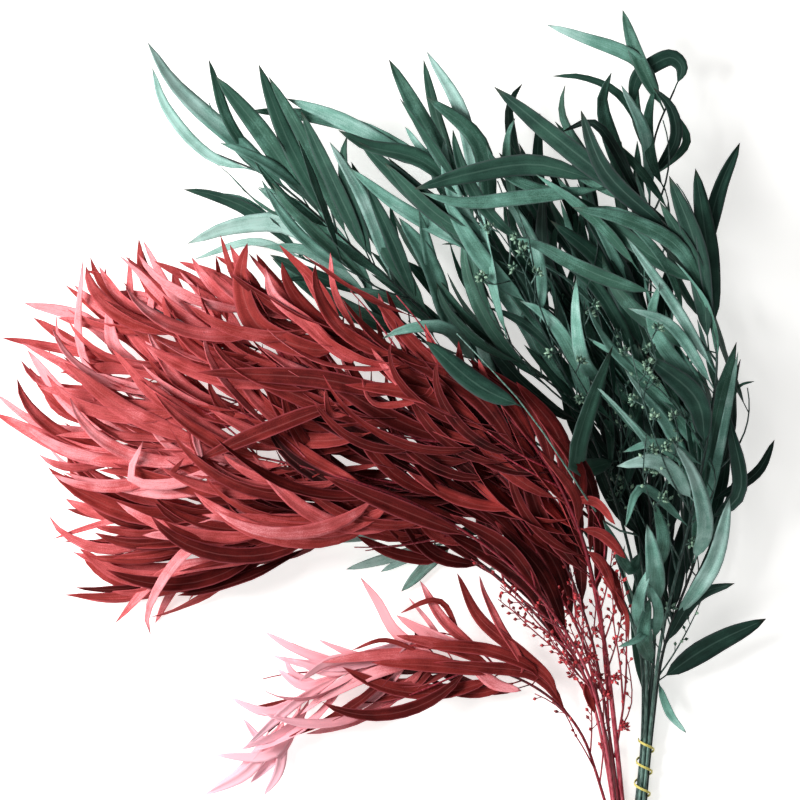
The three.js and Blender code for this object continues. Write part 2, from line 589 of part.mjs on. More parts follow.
// A side twig, and the leaves it carries.
function twig(stem, line, share, side, seed) {
  const root = line.getPointAt(share);
  const along = line.getTangentAt(share);
  const lean = new THREE.Vector3(stem.lean[0], stem.lean[1], 0);
  for (let i = 0; i < twigTries; i += 1) {
    const across = aside(along, between(-0.6, 0.6, draw(seed + i)));
    const out = along.clone().addScaledVector(across, twigSpread * side).normalize();
    const length = between(twigLength[0], twigLength[1], draw(seed + i + 0.2));
    const tip = root.clone().addScaledVector(out, length * 0.6).addScaledVector(lean, length * 0.4);
    const middle = root.clone().addScaledVector(out, length * 0.5);
    const path = new THREE.QuadraticBezierCurve3(root, middle, tip);
    const thick = (s) => (s === 0 ? rootThick : between(twigThick, rootThick, s));
    const solid = sweep(twigForm, path, (s) => ({ half: thick(s), deep: thick(s), turn: 0 }));
    if (tip.z > lowestTwig && isClear(solid, standing.filter((other) => other.node !== stem.name))) {
      keep(solid, stem.name, true);
      return path;
    }
  }
  return null;
}

// A small umbel: a star whose longest spike is the stalk and whose other spikes are pointed buds.
function umbel(stem, line, share, seed) {
  const root = line.getPointAt(share);
  const along = line.getTangentAt(share);
  const out = aside(along, draw(seed) * Math.PI * 2);
  const stalk = out.lerp(along, umbelAhead).normalize();
  const turn = new THREE.Quaternion().setFromUnitVectors(new THREE.Vector3(0, 1, 0), stalk);
  const star = umbelForm.spots.slice();
  for (let i = 0; i < star.length; i += 3) {
    const spot = new THREE.Vector3().fromArray(star, i).normalize();
    const corner = Math.max(Math.abs(spot.x), Math.abs(spot.y), Math.abs(spot.z)) > 0.99;
    const reach = corner ? budLength : budThick / 2;
    const isStalk = spot.y < -0.99;
    if (corner && !isStalk) spot.y += budLean;
    spot.multiplyScalar(isStalk ? umbelStalk : reach).applyQuaternion(turn);
    spot.add(root).addScaledVector(stalk, umbelStalk).toArray(star, i);
  }
  place(stem.name, [() => solidOf(star, umbelForm.faces)]);
}

// Stems first, then their twigs and shoots, the leaves placed by hand, the leaves by the rule and the buds.
const lines = new Map(stems.map((stem) => [stem.name, stemLine(stem)]));
stems.forEach((stem) => {
  const line = lines.get(stem.name);
  const form = template(1, stemSides, line.points.length - 1);
  const taper = (share) => between(stem.thick, stemTip, share ** 0.8);
  keep(sweep(form, line, (s) => ({ half: taper(s), deep: taper(s), turn: 0 })), stem.name, true);
});
const twigs = new Map(stems.map((stem, n) => [
  stem.name,
  Array.from({ length: stem.twigs }, (_, i) => {
    const share = between(stem.leafFrom, 0.86, (i + 0.3) / stem.twigs);
    return twig(stem, lines.get(stem.name), share, i % 2 ? 1 : -1, n * 100 + i * 7 + 3);
  }).filter((path) => path),
]));
const shoots = new Map(stems.map((stem) => [
  stem.name,
  (stem.shoots ?? []).map((points) => shoot(stem, lines.get(stem.name), points)),
]));
stems.forEach((stem, n) => {
  const woods = [lines.get(stem.name), ...twigs.get(stem.name), ...shoots.get(stem.name)];
  stem.ownLeaves.forEach((row, i) => ownLeaf(stem, woods, row, n * 900 + i * 3 + 7));
});
stems.forEach((stem, n) => {
  for (let i = 0; i < stem.leaves; i += 1) {
    const share = between(stem.leafFrom, 1, (i + draw(n * 50 + i) * 0.8) / stem.leaves);
    ruleLeaf(stem, lines.get(stem.name), share, i % 2 ? 1 : -1, n * 500 + i * 3);
  }
  twigs.get(stem.name).forEach((path, t) => {
    twigLeaves.forEach((share, i) => {
      ruleLeaf(stem, path, share, i % 2 ? 1 : -1, n * 700 + t * 40 + i * 3 + 9);
    });
  });
});
stems.forEach((stem, n) => {
  stem.buds.forEach((share, i) => umbel(stem, lines.get(stem.name), share, n * 60 + i * 4 + 1));
});

// One closed body of everything on a stem, as a named mesh.
function stemMesh(stem) {
  const own = standing.filter((piece) => piece.node === stem.name);
  const joined = wasm.Manifold.union(own.map((piece) => piece.solid));
  const whole = joined.decompose().sort((a, b) => b.volume() - a.volume())[0];
  const { vertProperties, triVerts } = whole.getMesh();
  const geometry = new THREE.BufferGeometry();
  geometry.setAttribute("position", new THREE.BufferAttribute(vertProperties, 3));
  geometry.setIndex(new THREE.BufferAttribute(triVerts, 1));
  geometry.computeVertexNormals();
  const mesh = new THREE.Mesh(geometry, paints[stem.dye]());
  mesh.name = stem.name;
  return mesh;
}

// The flat ring round every stem. Its underside is the flat spot that the bunch rests on.
function bunchTie() {
  const rounded = (path, wide, high, corner) => {
    const x = wide / 2 - corner;
    const z = high / 2 - corner;
    path.absarc(x, z, corner, 0, Math.PI / 2, false);
    path.absarc(-x, z, corner, Math.PI / 2, Math.PI, false);
    path.absarc(-x, -z, corner, Math.PI, Math.PI * 1.5, false);
    path.absarc(x, -z, corner, Math.PI * 1.5, Math.PI * 2, false);
    return path;
  };
  const shape = rounded(new THREE.Shape(), tie.wide, tie.high, tie.corner);
  const inside = tie.wall * 2;
  shape.holes.push(rounded(new THREE.Path(), tie.wide - inside, tie.high - inside, tie.corner - tie.wall));
  const geometry = new THREE.ExtrudeGeometry(shape, {
    depth: tie.along,
    bevelEnabled: false,
    curveSegments: 3,
  });
  geometry.rotateX(Math.PI / 2);
  const mesh = new THREE.Mesh(geometry, paints.yellow());
  mesh.name = "bunch_tie";
  const left = Math.min(...stems.map((stem) => bundleMiddle[stem.dye][0] + stem.slot[0] - stem.thick));
  const right = Math.max(...stems.map((stem) => bundleMiddle[stem.dye][0] + stem.slot[0] + stem.thick));
  mesh.position.set((left + right) / 2, tieY + tie.along / 2, tie.high / 2);
  return mesh;
}

// The yellow winding: an open helix round the bundle of green stems.
class Helix extends THREE.Curve {
  getPoint(share) {
    const angle = share * winding.turns * Math.PI * 2;
    const y = winding.from - share * winding.turns * winding.pitch;
    const up = (y - tieY) / (bundleTop.y - tieY);
    const x = between(bundleMiddle.green[0], bundleTop.x, up) - winding.radius * Math.cos(angle);
    const z = between(bundleMiddle.green[1], bundleTop.z, up) + winding.radius * Math.sin(angle);
    return new THREE.Vector3(x, y, z);
  }
}

function greenWinding() {
  const section = new THREE.Shape();
  section.absarc(0, 0, winding.thick / 2, 0, Math.PI * 2, false);
  const geometry = new THREE.ExtrudeGeometry(section, {
    extrudePath: new Helix(),
    steps: winding.turns * winding.stepsATurn,
    curveSegments: 3,
    bevelEnabled: false,
  });
  const mesh = new THREE.Mesh(geometry, paints.yellow());
  mesh.name = "green_winding";
  return mesh;
}

const bunch = new THREE.Group();
bunch.add(...stems.map(stemMesh), bunchTie(), greenWinding());

export default bunch;
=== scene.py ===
import bisect
import math

import bmesh
import bpy
from mathutils import Matrix, Quaternion, Vector


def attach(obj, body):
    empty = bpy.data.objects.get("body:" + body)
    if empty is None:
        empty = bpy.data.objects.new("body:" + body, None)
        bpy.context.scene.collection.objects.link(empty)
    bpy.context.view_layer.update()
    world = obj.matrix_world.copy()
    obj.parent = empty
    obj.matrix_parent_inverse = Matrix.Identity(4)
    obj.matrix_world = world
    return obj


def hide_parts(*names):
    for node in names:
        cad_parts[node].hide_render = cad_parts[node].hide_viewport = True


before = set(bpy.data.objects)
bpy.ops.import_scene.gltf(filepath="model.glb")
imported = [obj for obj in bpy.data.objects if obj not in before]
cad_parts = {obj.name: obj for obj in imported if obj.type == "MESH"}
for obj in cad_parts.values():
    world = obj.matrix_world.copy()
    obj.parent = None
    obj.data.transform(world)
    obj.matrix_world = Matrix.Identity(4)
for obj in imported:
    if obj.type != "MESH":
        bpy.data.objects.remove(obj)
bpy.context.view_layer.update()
print("frame loaded:", len(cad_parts), "nodes")

scene = bpy.context.scene
mm = 0.001  # lengths are written in millimetres and made metres as they go into a mesh
ground = 0.3  # no point of the bunch is nearer to the floor
fullTurn = 6.28  # radians


# camera: straight down on the lying bunch, with a long lens
view = {"middleX": 12.8, "middleY": 40, "across": 640, "sharpHeight": 60, "height": 3000, "clipEnd": 50000}

cameraData = bpy.data.cameras.new("camera")
cameraData.sensor_fit = "HORIZONTAL"
cameraData.angle = 2 * math.atan(view["across"] / 2 / (view["height"] - view["sharpHeight"]))
cameraData.clip_end = view["clipEnd"] * mm
camera = bpy.data.objects.new("camera", cameraData)
camera.location = Vector((view["middleX"], view["middleY"], view["height"])) * mm
scene.collection.objects.link(camera)
scene.camera = camera
print("camera set")


# a repeatable draw between 0 and 1, the one that also places the leaves of the solids
def draw(seed):
    wave = math.sin(seed * 12.9898) * 43758.5453
    return wave - math.floor(wave)


def between(low, high, share):
    return low + (high - low) * share


def pick(limits, seed):
    return between(*limits, draw(seed))


def clamp(value, low=0, high=1):
    return max(low, min(high, value))


# paths are functions that give a place for a share of the way
def bezier(*controls):
    def at(share):
        points = controls
        while len(points) > 1:
            points = [a.lerp(b, share) for a, b in zip(points, points[1:])]
        return points[0].copy()
    return at


def way(points):
    lengths = [0]
    for a, b in zip(points, points[1:]):
        lengths.append(lengths[-1] + (b - a).length)

    def at(share):
        reach = clamp(share) * lengths[-1]
        i = clamp(bisect.bisect_left(lengths, reach), 1, len(points) - 1)
        return points[i - 1].lerp(points[i], (reach - lengths[i - 1]) / (lengths[i] - lengths[i - 1]))
    return at


# a smooth curve through points, as close points on it; gaps are the roots of the distances
def smoothed(points, steps=12):
    points = [Vector(point) for point in points]
    ends = [points[0] * 2 - points[1], *points, points[-1] * 2 - points[-2]]
    close = []
    for before, start, end, after in zip(ends, ends[1:], ends[2:], ends[3:]):
        pairs = ((before, start), (start, end), (end, after))
        gapA, gapB, gapC = [math.sqrt((b - a).length) for a, b in pairs]
        setOff = (start - before) / gapA - (end - before) / (gapA + gapB) + (end - start) / gapB
        arrive = (end - start) / gapB - (after - start) / (gapB + gapC) + (after - end) / gapC
        piece = bezier(start, start + setOff * gapB / 3, end - arrive * gapB / 3, end)
        close += [piece(i / steps) for i in range(steps)]
    return close + [points[-1]]


def aheadOn(path, share, step=0.01):
    return (path(min(share + step, 1)) - path(max(share - step, 0))).normalized()


# the place on a path and the two directions across it
def frameOn(path, share, turn):
    ahead = aheadOn(path, share)
    side = Vector((ahead.y, -ahead.x, 0)).normalized()
    side.rotate(Quaternion(ahead, turn))
    return path(share), side, side.cross(ahead)


# the level direction to the left of a heading, turned about the heading
def leftOf(ahead, turn):
    left = Vector((-ahead.y, ahead.x, 0)).normalized()
    left.rotate(Quaternion(ahead, turn))
    return left


# blanks: small shapes that are copied and bent. X is across, Y runs from 0 at the root to 1 at the tip
blanks = {
    "leaf": {"across": 4, "along": 12}, "arch": {"across": 4, "along": 24},
    "stem": {"sides": 8, "rings": 64}, "twig": {"sides": 5, "rings": 8}, "pedicel": {"sides": 4, "rings": 2},
}
# a flower bud, a round cup and a pointed cap, is spun about Y from its outline
budBlank = {
    "sides": 6,
    "outline": [(0, 0), (0.2, 0.03), (0.42, 0.3), (0.5, 0.52), (0.36, 0.6), (0.16, 0.84), (0, 1)],
}


def startForm():
    form = bmesh.new()
    form.loops.layers.uv.new("UVMap")
    return form


def asBlank(form, name):
    blank = bpy.data.meshes.new(name + "Blank")
    form.to_mesh(blank)
    form.free()
    return blank


def makeBlade(name, across, along):
    form = startForm()
    bmesh.ops.create_grid(form, x_segments=across, y_segments=along, size=1, calc_uvs=True)
    bmesh.ops.scale(form, vec=(1, 0.5, 1), verts=form.verts)
    bmesh.ops.translate(form, vec=(0, 0.5, 0), verts=form.verts)
    return asBlank(form, name)


def makeRod(name, sides, rings):
    form = startForm()
    bmesh.ops.create_cone(
        form, cap_ends=True, segments=sides, radius1=1, radius2=1, depth=1,
        matrix=Matrix.Translation((0, 0.5, 0)) @ Matrix.Rotation(math.radians(-90), 4, "X"))
    long = [edge for edge in form.edges if abs(edge.verts[0].co.y - edge.verts[1].co.y) > 0.5]
    bmesh.ops.subdivide_edges(form, edges=long, cuts=rings - 1, use_grid_fill=True)
    return asBlank(form, name)


def makeBud(name, sides, outline):
    form = startForm()
    spots = [form.verts.new((x, y, 0)) for x, y in outline]
    edges = [form.edges.new(pair) for pair in zip(spots, spots[1:])]
    bmesh.ops.spin(form, geom=spots + edges, axis=(0, 1, 0), cent=(0, 0, 0), angle=2 * math.pi,
                   steps=sides, use_merge=True)
    bmesh.ops.remove_doubles(form, verts=form.verts, dist=1e-4)
    bmesh.ops.recalc_face_normals(form, faces=form.faces)

    # spin leaves its faces in another order each run, so they are put in order round the bud
    def roundBud(face):
        middle = face.calc_center_median()
        return math.atan2(middle.z, middle.x) * 10 + middle.y

    form.faces.sort(key=roundBud)
    return asBlank(form, name)


shapes = {}
for name, size in blanks.items():
    shapes[name] = makeBlade(name, **size) if "along" in size else makeRod(name, **size)
shapes["bud"] = makeBud("bud", **budBlank)
print("blanks:", {name: len(shape.polygons) for name, shape in shapes.items()})


# what each point carries: its tone from 0, dark, to 1, light, how far its dye has faded, and a shift of the
# pattern, so that no two leaves match
pointLayers = ("tone", "faded", "grain")


def newForm():
    form = startForm()
    for name in pointLayers:
        form.verts.layers.float.new(name)
    return form


def copied(form, blank):
    first = len(form.verts)
    form.from_mesh(blank)
    form.verts.ensure_lookup_table()
    return form.verts[first:]


# bends a copy of a blank along a path; section gives half width, half depth, turn and rise
def lay(form, blank, path, section, tone, faded=None, grain=0, lowest=ground):
    verts = copied(form, blank)
    layers = [form.verts.layers.float[name] for name in pointLayers]
    for vert in verts:
        across, share, above = vert.co.x, clamp(vert.co.y), vert.co.z
        half, deep, turn, rise = section(share, across)
        spot, side, up = frameOn(path, share, turn)
        spot += side * across * half + up * (above * deep + rise)
        spot.z = max(spot.z, lowest)
        vert.co = spot * mm
        vert[layers[0]] = tone(share) if callable(tone) else tone
        vert[layers[1]] = faded(share) if faded else 0
        vert[layers[2]] = grain


# a rod with its half thickness at the start and at the end
def addRod(form, blank, path, thick, tone, power=1):
    def section(share, across):
        half = between(*thick, share ** power)
        return half, half, 0, 0

    lay(form, shapes[blank], path, section, tone)


def finishPiece(form, name, nodeName, slotName, material, thick=0):
    mesh = bpy.data.meshes.new(name)
    form.to_mesh(mesh)
    form.free()
    mesh.shade_smooth()
    mesh.materials.append(material)
    piece = bpy.data.objects.new(name, mesh)
    scene.collection.objects.link(piece)
    if thick:
        blade = piece.modifiers.new("blade", "SOLIDIFY")
        blade.thickness = thick * mm
        blade.offset = 0
    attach(piece, "root")
    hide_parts(nodeName)


# colours are written as screen hex values
def linear(hexCode):
    channels = [int(hexCode[i:i + 2], 16) / 255 for i in (1, 3, 5)]
    return [c / 12.92 if c <= 0.04045 else ((c + 0.055) / 1.055) ** 2.4 for c in channels] + [1]


# adds a node with its settings and its sockets, which take a value or the output of another node
def addNode(tree, kind, settings=None, sockets=None, stops=None):
    added = tree.nodes.new("ShaderNode" + kind)
    for name, value in (settings or {}).items():
        setattr(added, name, value)
    for name, value in (sockets or {}).items():
        if isinstance(value, bpy.types.NodeSocket):
            tree.links.new(value, added.inputs[name])
        else:
            added.inputs[name].default_value = value
    for i, (place, hexCode) in enumerate(stops or []):
        stop = added.color_ramp.elements[i] if i < 2 else added.color_ramp.elements.new(place)
        stop.position = place
        stop.color = linear(hexCode)
    return added


def newMaterial(name):
    material = bpy.data.materials.new(name)
    material.use_nodes = True
    tree = material.node_tree
    return material, tree, tree.nodes["Principled BSDF"]


# gives a material its roughness, IOR and other fixed values, its colour and its bump, in millimetres
def finishShader(tree, shader, values, colour, height, strength, distance):
    for name, value in values.items():
        shader.inputs[name].default_value = value
    bump = addNode(tree, "Bump", sockets={"Height": height, "Strength": strength, "Distance": distance * mm})
    tree.links.new(bump.outputs[0], shader.inputs["Normal"])
    if colour:
        tree.links.new(colour, shader.inputs["Base Color"])


# the part of a noise's output that shows
noiseSpan = {"From Min": 0.3, "From Max": 0.7}
leafPattern = {
    "vein": (13, 8, 1),  # veins about 1.1 mm apart on a blade 14 mm wide, drawn out 12 times as long
    "cloud": 55,  # cloudy dye, in patches of about 18 mm
    "speck": 1250,  # skin mottled in specks of about 0.8 mm
    "rib": (0.02, 0.05), "edge": (0.4, 0.5),  # shares of the width, out from the middle
    "dry": (0.93, 1), "dryness": 0.7,  # shares of the length, and how dry the tip is
    "bump": (0.5, 0.25),  # strength, and depth in mm
}


# dyed dry leaf: a thin matt-satin blade with fine lengthwise veins, a pale midrib, a dry tip and a tinted
# edge, which on the crimson leaf is a pink painted highlight
def dyedLeaf(name, look):
    material, tree, shader = newMaterial(name)
    pattern = leafPattern
    uv = addNode(tree, "UVMap", {"uv_map": "UVMap"}).outputs["UV"]
    place = addNode(tree, "TexCoord").outputs["Object"]
    tone, faded, grain = [
        addNode(tree, "Attribute", {"attribute_name": layer}).outputs["Fac"] for layer in pointLayers]
    along = addNode(tree, "Mapping", sockets={"Vector": uv, "Scale": pattern["vein"]})
    vein = addNode(tree, "TexNoise", {"noise_dimensions": "4D"}, {
        "Vector": along.outputs[0], "W": grain, "Scale": 1, "Detail": 2})
    cloud = addNode(tree, "TexNoise", sockets={"Vector": place, "Scale": pattern["cloud"], "Detail": 3})
    speck = addNode(tree, "TexNoise", sockets={"Vector": place, "Scale": pattern["speck"], "Detail": 2})

    # dye that has faded is lighter before it is bleached
    lifted = addNode(tree, "Math", {"operation": "MULTIPLY_ADD"}, {0: faded, 1: look["lift"], 2: tone})
    depth = lifted.outputs[0]
    for noise, amount in ((vein, look["veins"]), (cloud, look["clouds"]), (speck, look["specks"])):
        shift = addNode(tree, "MapRange", sockets={
            "Value": noise.outputs["Fac"], "To Min": -amount, "To Max": amount, **noiseSpan})
        added = addNode(tree, "Math", {"operation": "ADD"}, {0: depth, 1: shift.outputs[0]})
        depth = added.outputs[0]
    dye = addNode(tree, "ValToRGB", sockets={"Fac": depth}, stops=look["dye"])

    # the distance from the middle, 0 at the midrib and 0.5 at the edge, and the length, 0 to 1
    parts = addNode(tree, "SeparateXYZ", sockets={0: uv})
    offset = addNode(tree, "Math", {"operation": "SUBTRACT"}, {0: parts.outputs["X"], 1: 0.5})
    far = addNode(tree, "Math", {"operation": "ABSOLUTE"}, {0: offset.outputs[0]}).outputs[0]
    # only much faded dye turns white
    bleach = addNode(tree, "Math", {"operation": "POWER"}, {0: faded, 1: 2})
    # the edge colour is a purple-grey tint on the green leaf and a pink painted highlight on the crimson one
    spans = [("rib", far, look["rib"], 0), ("edge", far, 0, look["edge"]),
             ("dry", parts.outputs["Y"], 0, pattern["dryness"])]
    marks = {}
    for mark, source, low, high in spans:
        start, end = pattern[mark]
        marks[mark] = addNode(tree, "MapRange", sockets={
            "Value": source, "From Min": start, "From Max": end, "To Min": low, "To Max": high})
    marks["faded"] = bleach
    colour = dye.outputs["Color"]
    for mark, share in marks.items():
        mixed = addNode(tree, "Mix", {"data_type": "RGBA"}, {
            0: share.outputs[0], 6: colour, 7: linear(look[mark + "Colour"])})
        colour = mixed.outputs[2]

    rise = addNode(tree, "Math", {"operation": "ADD"}, {0: vein.outputs["Fac"], 1: marks["rib"].outputs[0]})
    finishShader(tree, shader, look["surface"], colour, rise.outputs[0], *pattern["bump"])
    return material


greenLeafLook = {
    "dye": [(0, "#0e1b17"), (1, "#b4d8cf"), (0.3, "#203d34"), (0.58, "#395f50"), (0.8, "#70a293")],
    "veins": 0.05, "clouds": 0.09, "specks": 0.05, "rib": 0.14, "edge": 0.4, "lift": 0,
    "ribColour": "#86ab9c", "edgeColour": "#5b5860", "dryColour": "#3b3128", "fadedColour": "#a8c9bd",
    "surface": {"Roughness": 0.55, "IOR": 1.45, "Specular IOR Level": 0.18},
}
redLeafLook = {
    "dye": [(0, "#220506"), (1, "#f29ea4"), (0.3, "#5c1918"), (0.58, "#943431"), (0.8, "#c85b5d")],
    "veins": 0.07, "clouds": 0.09, "specks": 0.06, "rib": 0.12, "edge": 0.35, "lift": 0.6,
    # the pink edge colour here is a painted highlight
    "ribColour": "#cf7f7d", "edgeColour": "#d0646e", "dryColour": "#8a2a30", "fadedColour": "#fdcbd8",
    "surface": {"Roughness": 0.6, "IOR": 1.45, "Specular IOR Level": 0.08},
}

# bark streaks about 1.5 mm across, drawn out five times as long the way the bunch lies
barkPattern = {"streak": (650, 130, 650), "shift": 0.22, "bump": (0.4, 0.2)}


# dyed woody stem or bud: dull bark, streaked and speckled, lighter where the dye has rubbed off
def dyedBark(name, look):
    material, tree, shader = newMaterial(name)
    place = addNode(tree, "TexCoord")
    tone = addNode(tree, "Attribute", {"attribute_name": "tone"})
    lengthwise = addNode(tree, "Mapping", sockets={
        "Vector": place.outputs["Object"], "Scale": barkPattern["streak"]})
    fleck = addNode(tree, "TexNoise", sockets={"Vector": lengthwise.outputs[0], "Scale": 1, "Detail": 3})
    amount = barkPattern["shift"]
    shift = addNode(tree, "MapRange", sockets={
        "Value": fleck.outputs["Fac"], "To Min": -amount, "To Max": amount, **noiseSpan})
    depth = addNode(tree, "Math", {"operation": "ADD"}, {0: tone.outputs["Fac"], 1: shift.outputs[0]})
    dye = addNode(tree, "ValToRGB", sockets={"Fac": depth.outputs[0]}, stops=look["dye"])
    values = {"Roughness": look["rough"], "IOR": 1.45}
    finishShader(tree, shader, values, dye.outputs["Color"], fleck.outputs["Fac"], *barkPattern["bump"])
    return material


greenBudLook = {"dye": [(0, "#101c17"), (1, "#a6caae"), (0.5, "#34594a")], "rough": 0.45}
redBudLook = {"dye": [(0, "#2a070c"), (1, "#d8464c"), (0.5, "#8e1820")], "rough": 0.4}
greenBarkLook = {"dye": [(0, "#0a1412"), (1, "#7fa598"), (0.5, "#25403a")], "rough": 0.5}
redBarkLook = {"dye": [(0, "#380812"), (1, "#dc6c7a"), (0.5, "#8c1e2e")], "rough": 0.45}

# natural rubber band: soft yellow, satin, with powder in spots of about 1 mm
bandLook = {
    "colour": [(0.3, "#d6c75c"), (0.7, "#f2e78e")], "powder": 900, "bump": (0.2, 0.1),
    "surface": {"Roughness": 0.45, "IOR": 1.52},
}


def rubberBand(name, look):
    material, tree, shader = newMaterial(name)
    place = addNode(tree, "TexCoord")
    powder = addNode(tree, "TexNoise", sockets={
        "Vector": place.outputs["Object"], "Scale": look["powder"], "Detail": 2}).outputs["Fac"]
    colour = addNode(tree, "ValToRGB", sockets={"Fac": powder}, stops=look["colour"])
    finishShader(tree, shader, look["surface"], colour.outputs["Color"], powder, *look["bump"])
    return material


finishes = {
    "green": {"leaf": dyedLeaf("dyed green eucalyptus leaf", greenLeafLook),
              "bark": dyedBark("dyed green eucalyptus bark", greenBarkLook),
              "bud": dyedBark("dyed green eucalyptus bud", greenBudLook)},
    "red": {"leaf": dyedLeaf("dyed crimson eucalyptus leaf", redLeafLook),
            "bark": dyedBark("dyed crimson eucalyptus bark", redBarkLook),
            "bud": dyedBark("dyed crimson eucalyptus bud", redBudLook)},
    "band": rubberBand("yellow natural rubber", bandLook),
}
print("materials made")


# the ways of the stems, as in the solids: straight through the tie, then along the route in a smooth curve
bundle = {
    "cutY": -355, "tieY": -330, "tieAlong": 6, "green": (205.5, 6.65), "red": (193.5, 6.65),
    "topX": 214.4, "topY": -226, "topZ": 9.2, "thick": {"green": 1.75, "red": 1.45},
}
stems = {"green_stem_1": {
    "slot": (-3.9, 0), "lean": (-0.55, 0.83), "leafFrom": 0.5, "leaves": 5, "more": 8, "twigs": 2,
    "buds": [0.4],
    "route": [(206, -152, 22), (174, -56, 34), (109, 32, 42), (37, 106, 50), (-31, 168, 54), (-91, 218, 48),
              (-135, 238, 40)],
}, "green_stem_2": {
    "slot": (-1.95, -3.4), "lean": (-0.95, 0.3), "leafFrom": 0.45, "leaves": 5, "more": 9, "twigs": 2,
    "buds": [],
    "route": [(205, -152, 16), (166, -72, 18), (105, 8, 20), (41, 80, 22), (-23, 132, 24), (-79, 160, 20),
              (-115, 168, 16)],
}, "green_stem_3": {
    "slot": (-1.95, 3.4), "lean": (-0.5, 0.87), "leafFrom": 0.48, "leaves": 5, "more": 18, "twigs": 3,
    "buds": [0.5, 0.7], "toneAndPaintedShadeBy": 0.07,
    "route": [(210, -144, 26), (186, -40, 44), (147, 56, 60), (105, 136, 70), (69, 196, 74), (45, 232, 70)],
}, "green_stem_4": {
    "slot": (1.95, -3.4), "lean": (-0.35, 0.94), "leafFrom": 0.42, "leaves": 7, "more": 24, "twigs": 3,
    "buds": [0.42, 0.56], "sprigs": (0.5, 0.74, 0.8),
    "route": [(214, -148, 17), (202, -40, 26), (178, 52, 30), (150, 124, 32), (133, 180, 30),
              (123, 216, 26)],
}, "green_stem_5": {
    "slot": (1.95, 3.4), "lean": (-0.75, 0.66), "leafFrom": 0.42, "leaves": 5, "more": 20, "twigs": 2,
    "buds": [0.36, 0.46], "sprigs": (0.42, 0.5),
    "route": [(224, -152, 32), (243, -64, 58), (258, 16, 80), (263, 84, 94), (246, 146, 102),
              (209, 190, 102), (170, 214, 94)],
}, "green_stem_6": {
    "slot": (0, 0), "lean": (-0.5, 0.85), "leafFrom": 0.45, "leaves": 5, "more": 18, "twigs": 3,
    "buds": [0.42, 0.56], "sprigs": (0.44, 0.5, 0.55, 0.6),
    "route": [(219, -148, 25), (214, -40, 38), (211, 56, 48), (214, 136, 52), (213, 200, 50),
              (218, 252, 44), (234, 290, 36)],
}, "green_stem_7": {
    "slot": (3.9, 0), "lean": (-0.4, 0.92), "leafFrom": 0.3, "leaves": 4, "more": 9, "twigs": 1,
    "buds": [0.5], "sprigs": (0.4,),
    "route": [(227, -160, 22), (251, -88, 38), (266, -24, 48), (274, 24, 52), (279, 64, 50)],
}, "red_stem_1": {
    "thick": 2.5, "slot": (3.2, 0), "lean": (-0.72, 0.69), "leafFrom": 0.36, "leaves": 5, "more": 48,
    "twigs": 3, "buds": [0.2, 0.27, 0.33], "sprigs": (0.24, 0.29, 0.33, 0.37),
    "route": [(184, -204, 30), (173, -136, 62), (152, -56, 94), (110, 14, 114), (46, 62, 122),
              (-32, 94, 114), (-97, 112, 100)],
}, "red_stem_2": {
    "slot": (1.0, 3.65), "lean": (-0.8, 0.6), "leafFrom": 0.4, "leaves": 7, "more": 45, "twigs": 3,
    "buds": [0.23, 0.33], "sprigs": (0.25, 0.3, 0.35),
    "route": [(178, -204, 27), (162, -136, 50), (130, -64, 78), (72, 0, 98), (-8, 44, 102), (-88, 76, 94),
              (-154, 100, 80), (-187, 114, 70)],
}, "red_stem_3": {
    "slot": (-1.2, 0), "lean": (-0.9, 0.45), "leafFrom": 0.38, "leaves": 7, "more": 45, "twigs": 3,
    "buds": [0.26], "sprigs": (0.24, 0.29, 0.34),
    "route": [(173.5, -204, 22), (153, -138, 40), (109, -77, 60), (38, -22, 76), (-42, 13, 78),
              (-130, 43, 68), (-203, 70, 54)],
}, "red_stem_4": {
    "slot": (-2.6, 3.2), "lean": (-0.97, 0.22), "leafFrom": 0.38, "leaves": 6, "more": 47, "twigs": 3,
    "buds": [0.24, 0.3], "sprigs": (0.26, 0.31, 0.36),
    "route": [(172, -204, 33), (147, -148, 66), (99, -90, 96), (29, -44, 106), (-51, -16, 100),
              (-138, 2, 82), (-208, 14, 62)],
# the tone offsets of this stem and the next are a painted shade on their leaves
}, "red_stem_5": {
    "slot": (-3.0, -2.9), "lean": (-0.99, 0.1), "leafFrom": 0.4, "leaves": 7, "more": 41, "twigs": 2,
    "buds": [0.3], "sprigs": (0.25, 0.3, 0.35), "toneAndPaintedShadeBy": -0.09,
    "route": [(169, -204, 17), (142, -146, 30), (93, -90, 42), (21, -58, 52), (-59, -43, 52),
              (-130, -45, 42), (-194, -52, 30)],
}, "red_stem_6": {
    "slot": (0.6, -3.6), "lean": (-0.98, -0.15), "leafFrom": 0.42, "leaves": 5, "more": 35, "twigs": 2,
    "buds": [0.34], "sprigs": (0.27, 0.33, 0.38), "toneAndPaintedShadeBy": -0.03,
    "route": [(172, -204, 12), (134, -147, 18), (78, -92, 26), (10, -58, 28), (-62, -60, 26),
              (-126, -84, 18), (-172, -104, 12)],
}, "red_stem_7": {
    "outline": "spray", "slot": (-4.6, 0.2), "lean": (-0.9, -0.35), "leafFrom": 0.36, "leaves": 2,
    "more": 14, "twigs": 1, "buds": [], "sprigs": (0.2, 0.26), "faded": 1, "toneAndPaintedShadeBy": 0.18,
    "route": [(172, -262, 10), (161, -233, 11), (142, -208, 14), (109, -186, 18), (54, -171, 22),
              (-2, -171, 20), (-53, -194, 14), (-94, -230, 10)],
}}
for name, stem in stems.items():
    dye = name.split("_")[0]
    stem.update({"name": name, "dye": dye, "outline": stem.get("outline", dye)})
    stem.setdefault("thick", bundle["thick"][dye])
